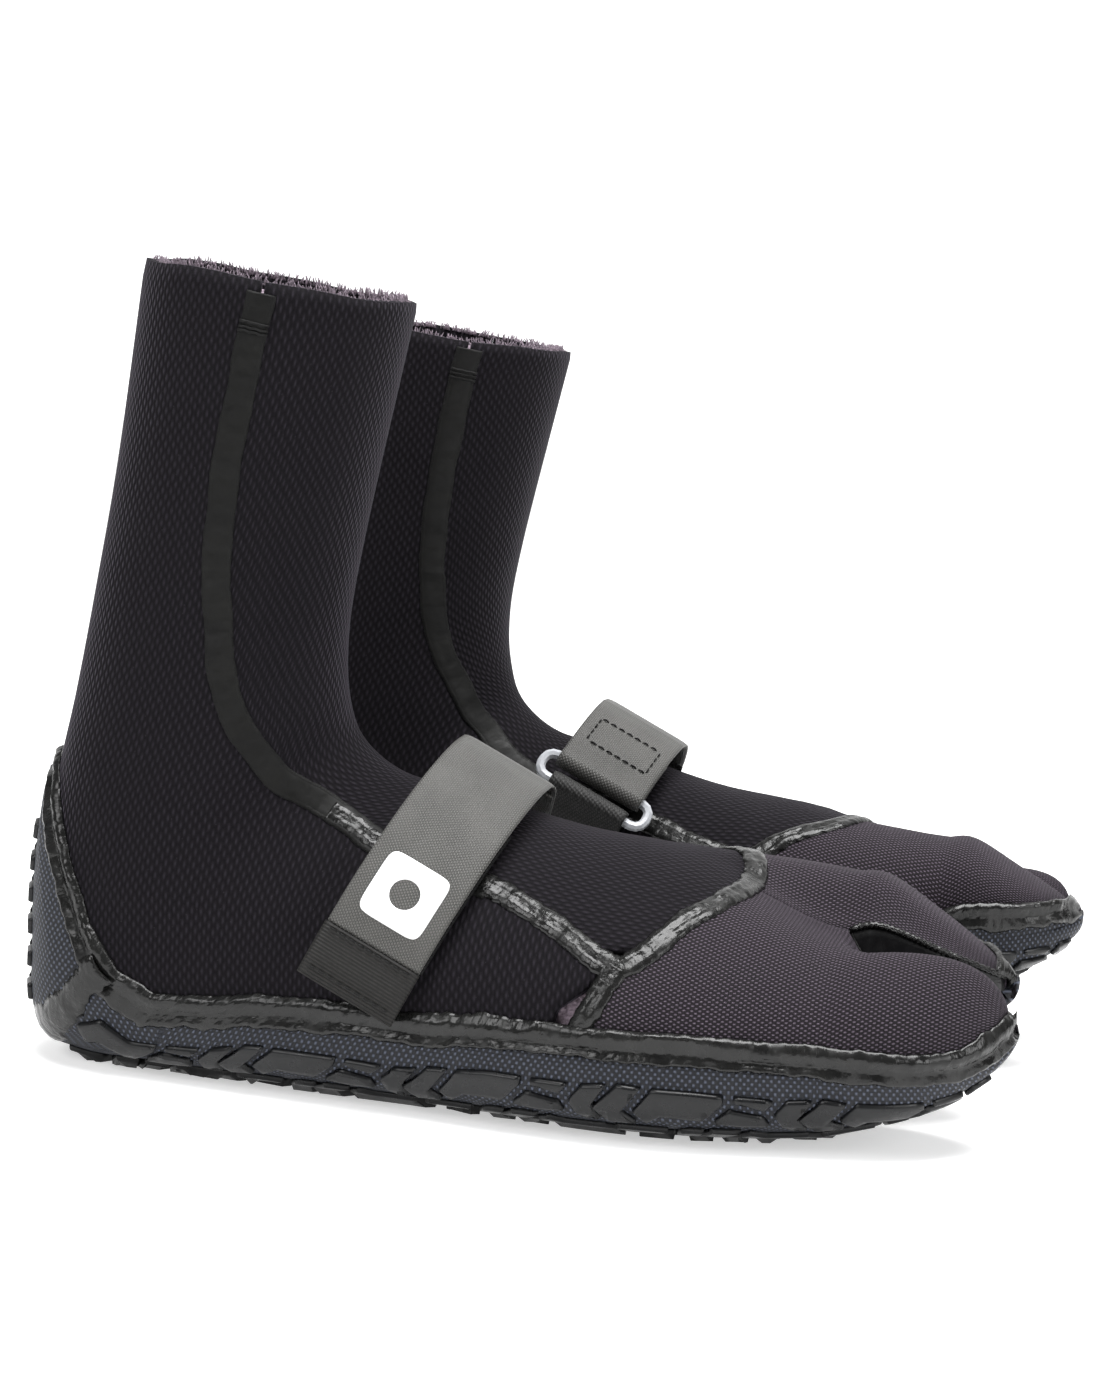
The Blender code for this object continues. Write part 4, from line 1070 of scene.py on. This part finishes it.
def lug_mesh(corners, to_skin, top=SOLE):
    """One raised lug: a soft-edged block that follows the sole."""
    flat, faces, push = lug_flat(corners, GROOVE / 2 + .35)
    layers = []
    for reach, height in ((-.25, top), (.1, top - .25), (.35, top - .75), (.5, BASE - .5)):
        spot = flat + push * reach
        layers.append(to_skin(spot[:, 0], spot[:, 1], height))
    return thicken(layers, flat, faces)


def lugs(boot):
    meshes = []
    for side in (0, 1):
        tread = TreadMap(side)
        end = tread.run[-1]

        def to_skin(run, drop, height, tread=tread, side=side):
            s, u = tread.find(run, drop)
            return settle(lobed_points(s, u, side, np.full(len(s), height)))

        for row in range(5):
            shift = row * REPEAT / 2 - REPEAT
            for k in range(int(end / REPEAT) + 3):
                for shape in TREAD:
                    corners = np.array(shape, float)
                    if row % 2:
                        corners[:, 1] = TREAD_HEIGHT - .8 - corners[:, 1]
                    corners += (shift + k * REPEAT, LUG_START + row * TREAD_HEIGHT)
                    room = tread.room(corners[:, 0]) - 1.2
                    fits = corners[:, 0].min() > .5 and corners[:, 0].max() < end - 2
                    if fits and (corners[:, 1] < room).all():
                        points, uv, faces = lug_mesh(corners, to_skin)
                        meshes.append((points, faces, uv))
    points, faces, uv = merge(meshes)
    add(boot, "sole_lugs", points, faces, uv, "lug", "boot")


# Lugs up the back of the heel: corners as distance across, height up the back
HEEL_LUGS = [
    [(-8, 0), (0, 4), (8, 0), (8, 6.5), (0, 10.5), (-8, 6.5)],
    [(9, 0), (16, -3), (17, 3), (9, 6.5)],
    [(-9, 0), (-9, 6.5), (-17, 3), (-16, -3)],
]
HEEL_STEP = 9.4
HEEL_ROWS = 6


def heel_lugs(boot):
    rows = np.linspace(10.1, 12.9, 80)
    back = skin(rows, np.zeros(80)) + normal(rows, np.zeros(80)) * SOLE
    climb = np.concatenate([[0], np.cumsum(np.linalg.norm(np.diff(back, axis=0), axis=1))])
    girth = 230.0

    def to_skin(across, up, height):
        s = np.interp(up, climb, rows)
        u = across / girth
        return off(s, -u, np.full(len(s), height))

    meshes = []
    for row in range(HEEL_ROWS):
        for shape in HEEL_LUGS:
            narrow = 1 - .05 * row
            corners = np.array(shape, float) * (narrow, 1) + (0, 3.5 + row * HEEL_STEP)
            if corners[:, 1].max() < climb[-1] - 4:
                points, uv, faces = lug_mesh(corners, to_skin)
                meshes.append((points, faces, uv))
    points, faces, uv = merge(meshes)
    add(boot, "heel_lugs", points, faces, uv, "lug", "boot")


def sole_band(boot):
    """Liquid rubber that seals the sole's top edge, thickest along its upper side."""
    top = np.linspace(BAND_TOP_S - .02, 11.7, 46)[1:]
    low = np.interp(top, [11.7, BAND_TOP_S - .02], [11.7, SOLE_TOP_S + .04])
    rest = np.concatenate([np.linspace(11.65, .02, 220)])
    s_top = np.concatenate([top, rest, LOBE_ROWS[:-1]])
    s_low = np.concatenate([low, rest, LOBE_ROWS[:-1]])
    spots = np.array([-.12, -.06, 0, .12, .3, .5, .68, .82, .93, 1, 1.04])
    profile = np.array([.15, .45, .75, .8, .85, 1.0, 1.45, 1.6, 1.1, .45, 0])
    meshes = []
    for side in (0, 1):
        u_top = np.array([edge(s, BAND_LINE, bool(side)) for s in s_top])
        u_low = np.array([edge(min(s, SOLE_TOP_S), SOLE_LINE, bool(side)) for s in s_low])
        mid = skin(s_top, u_top, side)
        run = np.concatenate([[0], np.cumsum(np.linalg.norm(np.diff(mid, axis=0), axis=1))])
        ragged_top = .05 * wander(run, 21 + side)[:, None] * (spots > .6)
        ragged_low = .16 * wander(run * .6, 41 + side)[:, None] * (spots < .2)
        k = spots + ragged_top + ragged_low
        s = s_low[:, None] + (s_top - s_low)[:, None] * k
        u = u_low[:, None] + (u_top - u_low)[:, None] * k
        bottom = U_BOTTOM + side
        u = np.clip(u, min(bottom, U_TOP), max(bottom, U_TOP)) if side == 0 else np.clip(u, U_TOP, bottom)
        lump = 1 + .3 * wander(run * .8, 61 + side)[:, None]
        above_sole = np.interp(spots, [-.35, .15, .3], [SOLE_EDGE, SOLE_EDGE, .5])
        height = above_sole + profile * lump
        outer = lobed_points(s, u, side, height)
        inner = lobed_points(s, u, side, .2)
        width = np.linalg.norm(mid - skin(s_low, u_low, side), axis=1)
        across = spots[None] * width[:, None]
        uv = np.stack([across, np.broadcast_to(run[:, None], s.shape)], -1).reshape(-1, 2)
        points, uv, faces = thicken([outer, inner], uv, quads(*s.shape))
        meshes.append((points, faces, uv))
    points, faces, uv = merge(meshes)
    add(boot, "sole_band", points, faces, uv, "seam_rubber", "boot", ["sole_band"])


def glue_streak(boot):
    for name, inner in (("outer", False), ("inner", True)):
        curve = [locate(x, z, inner) for x, z in ((-4.5, 7), (4, 13), (12, 20), (20, 28))]
        ribbon(boot, f"{name}_heel_streak", curve, 8, BASE,
               [0, .25, .35, .3, .35, .2, 0], "seam_rubber", "boot",
               steps=40, rough=.6)


# ---- tapes and seams --------------------------------------------------------------------------

FLAT_TAPE = [.2, .5, .6, .62, .62, .6, .62, .62, .6, .5, .2]
ROUND_SEAM = [.15, .55, .85, .95, .85, .8, .9, 1.0, .85, .5, .15]


def seams(boot):
    outer = np.array([locate(x, z, False) for x, z in OUTER_SEAM])
    inner = np.array([locate(x, z, True) for x, z in INNER_SEAM])
    outer[0, 0] = inner[0, 0] = COLLAR - .09
    ribbon(boot, "outer_tape", outer[:13], TAPE_WIDTH, .1, FLAT_TAPE, "tape", "boot", ["outer_tape"], 260,
           (0, .985), .16)
    ribbon(boot, "inner_tape", inner[:11], TAPE_WIDTH, .1, FLAT_TAPE, "tape", "boot", ["inner_tape"], 260,
           (0, .985), .16)
    loop = list(outer[8:]) + OUTER_FRONT[:-1] + [APEX] + INNER_FRONT[::-1][1:] + list(inner[:7:-1])
    ribbon(boot, "vamp_seam", loop, TAPE_WIDTH - 1, .15, ROUND_SEAM,
           "seam_rubber", "boot", ["vamp_seam"], 420,
           (.02, .98), .3)
    for name, side, mark, line in (("outer", 0, OUTER_FRONT[0], outer), ("inner", 1, INNER_FRONT[0], inner)):
        end = (TOE_SEAM_SIDE_S + .04, (.205, .795)[side])
        start = (mark[0] + .02, mark[1] + (-.002, .002)[side])
        ribbon(boot, f"{name}_toe_seam", [start, end], 6.4, .1, ROUND_SEAM, "seam_rubber", "boot",
               [f"{name}_toe_seam"], 90, (0, .86), .3)
        bartack(boot, f"{name}_bartack", line)


def bartack(boot, name, line):
    """Two dark rows of thread across the top of the tape."""
    meshes = []
    s, u, where = curve_on_skin(line[:4], 60, (0, .4))
    along, around = slopes(s, u)
    heading = np.gradient(skin(s, u), axis=0)
    across = np.cross(normal(s, u), heading)
    across /= np.linalg.norm(across, axis=1, keepdims=True)
    for distance in (8.6, 9.9, 11.2):
        k = np.argmin(np.abs(where - distance))
        spread = np.linspace(-4, 4, 9)
        steps = np.array([np.linalg.lstsq(np.stack([along[k], around[k]], 1), r * across[k], rcond=None)[0]
                          for r in spread])
        row_s = s[k] + steps[:, 0] + .004 * np.sin(spread * 2.2)
        p = off(row_s, u[k] + steps[:, 1], np.full(9, .95))
        meshes.append(tube_mesh(p, .42 + .1 * np.sin(spread * 4), 7))
    points, faces, uv = merge(meshes)
    add(boot, name, points, faces, uv, "thread", "boot", [name])
# ---- strap ------------------------------------------------------------------------------------

def strap_point(along, y, h):
    """Strap coordinates to boot coordinates."""
    cosine, sine = math.cos(STRAP_TILT), math.sin(STRAP_TILT)
    return np.stack([along * cosine + h * sine, y + 0 * along, h * cosine - along * sine], -1)


def smooth_path(path, steps):
    path = np.array(path, float)
    return spline(path, np.linspace(0, len(path) - 1, steps))


def arc(centre, radius, start, end, steps):
    a = np.radians(np.linspace(start, end, steps))
    return [(centre[0] + radius * math.cos(t), centre[1] + radius * math.sin(t)) for t in a]


def bearing(a, b):
    return math.degrees(math.atan2(b[1] - a[1], b[0] - a[0]))


def web_grid(path, along, lift, columns=25):
    """Points of a band at a lift above its centre line, and their uv."""
    path = np.array(path, float)
    ahead = np.gradient(path, axis=0)
    ahead /= np.linalg.norm(ahead, axis=1, keepdims=True)
    above = np.stack([-ahead[:, 1], ahead[:, 0]], 1)
    run = np.concatenate([[0], np.cumsum(np.linalg.norm(np.diff(path, axis=0), axis=1))])
    across = np.linspace(-1, 1, columns)
    wide = np.broadcast_to(np.asarray(along, float), (len(path), 2))
    c = wide.mean(axis=1)[:, None] + across * (wide[:, 1] - wide[:, 0])[:, None] / 2
    edge_lift = lift * (1 - .55 * np.abs(across) ** 14)
    y = path[:, :1] + above[:, :1] * edge_lift
    h = path[:, 1:] + above[:, 1:] * edge_lift
    uv = np.stack(np.broadcast_arrays(c, run[:, None]), -1)
    return strap_point(c, y, h).reshape(-1, 3), uv.reshape(-1, 2)


def web(boot, name, path, thick, along, look, body, nodes=(), columns=25):
    upper, uv = web_grid(path, along, thick / 2, columns)
    lower, _ = web_grid(path, along, -thick / 2, columns)
    points, uv, faces = thicken([upper, lower], uv, quads(len(path), columns))
    return add(boot, name, points, faces, uv, look, body, nodes)


def strap_row(path, ends, lift=.85):
    """Stitches straight across or along a band: ends are (along, place on the path from 0 to 1)."""
    path = np.array(path, float)
    run = np.concatenate([[0], np.cumsum(np.linalg.norm(np.diff(path, axis=0), axis=1))])
    ahead = np.gradient(path, axis=0)
    ahead /= np.linalg.norm(ahead, axis=1, keepdims=True)
    above = np.stack([-ahead[:, 1], ahead[:, 0]], 1)
    t = np.linspace(0, 1, 30)
    c = ends[0][0] + (ends[1][0] - ends[0][0]) * t
    spot = (ends[0][1] + (ends[1][1] - ends[0][1]) * t) * run[-1]
    y, h = (np.interp(spot, run, path[:, i]) for i in (0, 1))
    ny, nh = (np.interp(spot, run, above[:, i]) for i in (0, 1))
    zero = strap_point(np.zeros(30), np.zeros(30), np.zeros(30))
    up = strap_point(np.zeros(30), ny, nh) - zero
    return stitch_row(strap_point(c, y + ny * lift, h + nh * lift), up)


def strap(boot):
    radius = BAR_R + BAR_PLAY + WEBBING / 2
    lean = bearing(UPPER_BAR, LOWER_BAR)
    flap = smooth_path(FLAP_PATH[::-1], 90)
    medial = smooth_path(MEDIAL_PATH, 30)
    wrap = np.array(arc(UPPER_BAR, radius, lean + 100, lean - 86, 22))
    under = smooth_path([(31.6, 120.0), (27.4, 124.8), (21.2, 128.4)], 10)
    path = np.vstack([flap[:-1], medial[:-1], wrap, under])
    bend = ("strap_body", "flap_body", strap_point(np.array(STRAP_CENTRE), 10.5, 134.0),
            strap_point(np.array(STRAP_CENTRE), 5.5, 134.0))
    web(boot, "strap_webbing", path, WEBBING, STRAP_ALONG, "webbing", bend, ["strap_flap", "strap_loop"])
    pad = smooth_path([(y + (2.1 if y < -30 else 1.6), h - (.4 if y < -40 else 1.1))
                       for y, h in FLAP_PATH[3:]], 30)[::-1]
    web(boot, "hook_pad", pad, .7, (STRAP_ALONG[0] - .3, STRAP_ALONG[1] + .5),
        "hook", "flap_body", ["hook_pad"])
    tab_path = [(-46.7, 83.4), (-47.1, 80.8), (-47.5, 78), (-48.1, 73), (-48.3, 67.5)]
    tab = smooth_path(tab_path, 40)[::-1]
    web(boot, "pull_tab", tab, 1.5, (STRAP_ALONG[0] - .4, STRAP_ALONG[1] + .4), "ribbon", "flap_body",
        ["pull_tab"])
    box_stitches(boot, path, tab)
    tail = bearing(LOWER_BAR, ELASTIC_END)
    wrap = arc(LOWER_BAR, radius, tail + 266, tail + 94, 30)
    tail_out = [(ELASTIC_END[0] + .95, h) for h in np.linspace(ELASTIC_END[1] + 6, ELASTIC_END[1], 8)]
    tail_in = [(ELASTIC_END[0] - .85, h) for h in np.linspace(ELASTIC_END[1], ELASTIC_END[1] + 6, 8)]
    web(boot, "elastic_loop", tail_in + wrap + tail_out, WEBBING, ELASTIC_ALONG, "elastic", "boot",
        ["elastic_loop"])
    grid_on_side(boot, "loop_pad", (57.5, 84.5), (86, 117), False, "hook")
    grid_on_side(boot, "anchor_patch", (56.5, 85.0), (89, 106), True, "elastic")
    mark(boot, flap)


def box_stitches(boot, path, tab):
    """Box stitch that closes the fold round the ring, and two rows across the pull tab."""
    run = np.concatenate([[0], np.cumsum(np.linalg.norm(np.diff(path, axis=0), axis=1))])
    spot = [run[np.argmin(np.abs(path[:130, 0] - y) + 1e3 * (path[:130, 1] < 118))] / run[-1]
            for y in (20.5, 30.5)]
    left, right = STRAP_ALONG[0] + 4, STRAP_ALONG[1] - 4
    corners = [(left, spot[0]), (right, spot[0]), (right, spot[1]), (left, spot[1]), (left, spot[0])]
    rows = []
    for a, b in zip(corners, corners[1:]):
        rows += strap_row(path, (a, b))
    points, faces, uv = merge(rows)
    add(boot, "box_stitches", points, faces, uv, "thread", "strap_body")
    rows = []
    for place_on in (.93, .2):
        rows += strap_row(tab, ((STRAP_ALONG[0] + 1.5, place_on), (STRAP_ALONG[1] - 1.5, place_on)), .95)
    points, faces, uv = merge(rows)
    add(boot, "tab_stitches", points, faces, uv, "thread", "flap_body")


def mark(boot, flap):
    """Plain printed mark on the flap: a rounded square with a round hole."""
    run = np.concatenate([[0], np.cumsum(np.linalg.norm(np.diff(flap, axis=0), axis=1))])
    centre = np.interp(99.0, flap[:, 1], run)
    ahead = np.gradient(flap, axis=0)
    ahead /= np.linalg.norm(ahead, axis=1, keepdims=True)
    turn = np.linspace(0, 2 * math.pi, 96, endpoint=False)
    layers = []
    for power, size in ((.28, 9.6), (.28, 7.6), (.6, 5.6), (1, 4.2)):
        cosine, sine = np.cos(turn), np.sin(turn)
        a = size * np.sign(cosine) * np.abs(cosine) ** power
        b = size * np.sign(sine) * np.abs(sine) ** power
        spot = centre + b
        y, h = (np.interp(spot, run, flap[:, i]) for i in (0, 1))
        ny = np.interp(spot, run, -ahead[:, 1])
        nh = np.interp(spot, run, ahead[:, 0])
        layers.append((STRAP_CENTRE + a, y, h, ny, nh))
    rings = [[strap_point(c, y + ny * lift, h + nh * lift) for c, y, h, ny, nh in layers]
             for lift in (WEBBING / 2 + .12, WEBBING / 2 - .1)]
    count, sides = len(layers), len(turn)
    points = np.vstack([np.vstack(ring) for ring in rings])
    faces = [[i * sides + j, i * sides + (j + 1) % sides,
              (i + 1) * sides + (j + 1) % sides, (i + 1) * sides + j]
             for i in range(count - 1) for j in range(sides)]
    size = count * sides
    faces += [[k + size for k in face[::-1]] for face in faces]
    for first in (0, (count - 1) * sides):
        faces += [[first + j, first + (j + 1) % sides, first + (j + 1) % sides + size, first + j + size]
                  for j in range(sides)]
    add(boot, "printed_mark", points, faces, points[:, :2], "mark", "flap_body")


def grid_on_side(boot, name, along, heights, inner, look):
    """Pad that follows the skin over a rectangle in strap coordinates."""
    rows, cols = 20, 24
    cells = []
    for c in np.linspace(*along, rows):
        for h in np.linspace(*heights, cols):
            x, _, z = strap_point(np.array(c), 0, h)
            cells.append(locate(x, z, inner))
    s, u = np.array(cells).T.reshape(2, rows, cols)
    near = SEAM_LIFT + TAPE + GAP
    points = [off(s.ravel(), u.ravel(), np.full(s.size, near + k)) for k in (PATCH, -.9)]
    c, h = np.meshgrid(np.linspace(*along, rows), np.linspace(*heights, cols), indexing="ij")
    points, uv, faces = thicken(points, np.stack([c, h], -1).reshape(-1, 2), quads(rows, cols))
    add(boot, name, points, faces, uv, look, "boot", [name])
    if inner:
        anchor_stitches(boot, near + PATCH)


def anchor_stitches(boot, lift):
    """V-shaped rows that sew the patch down."""
    rows = []
    for a, b in (((58.5, 102), (63.5, 91.5)), ((63.5, 91.5), (66, 102)), ((76, 102), (78.5, 91.5)),
                 ((78.5, 91.5), (83, 102)), ((58, 104), (84, 104))):
        spots = [strap_point(np.array(a[0] + (b[0] - a[0]) * t), 0, a[1] + (b[1] - a[1]) * t)
                 for t in np.linspace(0, 1, 12)]
        s, u = np.array([locate(p[0], p[2], True) for p in spots]).T
        n = normal(s, u)
        rows += stitch_row(off(s, u, np.full(12, lift + .15)), n, 1.5, .6, .2)
    points, faces, uv = merge(rows)
    add(boot, "anchor_stitches", points, faces, uv, "thread", "boot")


# ---- stage ------------------------------------------------------------------------------------

CAMERA = (.18973, -.93475, .22271)
YAW, PITCH, ROLL = math.radians(12), math.radians(7), math.radians(3)
LENS, SENSOR = 83.55, 36.0
FLOOR_GLOW, WORLD_GLOW = .5, .25


def camera():
    data = bpy.data.cameras.new("camera")
    data.lens = LENS
    data.sensor_width = SENSOR
    data.clip_start = .01
    forward = Vector((-math.sin(YAW) * math.cos(PITCH), math.cos(YAW) * math.cos(PITCH), -math.sin(PITCH)))
    right = forward.cross(Vector((0, 0, 1))).normalized()
    up = right.cross(forward)
    turned_right = right * math.cos(ROLL) + up * math.sin(ROLL)
    turned_up = up * math.cos(ROLL) - right * math.sin(ROLL)
    matrix = Matrix((turned_right, turned_up, -forward)).transposed().to_4x4()
    matrix.translation = Vector(CAMERA)
    made = bpy.data.objects.new("camera", data)
    made.matrix_world = matrix
    bpy.context.scene.collection.objects.link(made)
    bpy.context.scene.camera = made


def lamp(name, place_at, aim, size, power, colour=(1, 1, 1)):
    data = bpy.data.lights.new(name, "AREA")
    data.shape = "RECTANGLE"
    data.size, data.size_y = size
    data.energy = power
    data.color = colour
    made = bpy.data.objects.new(name, data)
    made.location = place_at
    made.rotation_euler = (Vector(aim) - Vector(place_at)).to_track_quat("-Z", "Y").to_euler()
    bpy.context.scene.collection.objects.link(made)


def sheet(name, corners, shade, glow):
    """Big pale plane of the studio that also gives off a little light."""
    mesh = bpy.data.meshes.new(name)
    mesh.from_pydata(corners, [], [(0, 1, 2, 3)])
    white = bpy.data.materials.new(name)
    white.use_nodes = True
    shader = white.node_tree.nodes["Principled BSDF"]
    shader.inputs["Base Color"].default_value = (shade, shade, shade, 1)
    shader.inputs["Roughness"].default_value = .95
    shader.inputs["Specular IOR Level"].default_value = .1
    shader.inputs["Emission Color"].default_value = (1, 1, 1, 1)
    shader.inputs["Emission Strength"].default_value = glow
    mesh.materials.append(white)
    made = bpy.data.objects.new(name, mesh)
    bpy.context.scene.collection.objects.link(made)


def stage():
    sheet("floor", [(-6, -3, 0), (6, -3, 0), (6, 4, 0), (-6, 4, 0)], .75, FLOOR_GLOW)
    sheet("backdrop", [(-6, 4, -.01), (6, 4, -.01), (6, 4, 6), (-6, 4, 6)], .5, 1.0)
    world = bpy.data.worlds.new("studio")
    world.use_nodes = True
    world.node_tree.nodes["Background"].inputs["Color"].default_value = (1, 1, 1, 1)
    world.node_tree.nodes["Background"].inputs["Strength"].default_value = WORLD_GLOW
    bpy.context.scene.world = world
    lamp("top", (.2, -.15, 1.5), (.05, 0, .05), (1.3, .8), 52)
    lamp("key", (-.9, -1.3, 1.2), (0, 0, .1), (.9, .7), 14)
    lamp("side", (1.3, -.7, .7), (.05, 0, .08), (.5, .8), 9)
    bpy.context.scene.view_settings.view_transform = "Standard"


# ---- the pair ---------------------------------------------------------------------------------

camera()
stage()
for boot in ("right", "left"):
    instep_panel(boot)
    back_panel(boot)
    toe_cap(boot)
    toe_gusset(boot)
    split_bead(boot)
    lining(boot)
    tufts(boot)
    outsole(boot)
    lugs(boot)
    heel_lugs(boot)
    sole_band(boot)
    glue_streak(boot)
    seams(boot)
    strap(boot)
    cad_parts[f"{boot}_ring"].data.materials[0] = LOOKS["ring"]
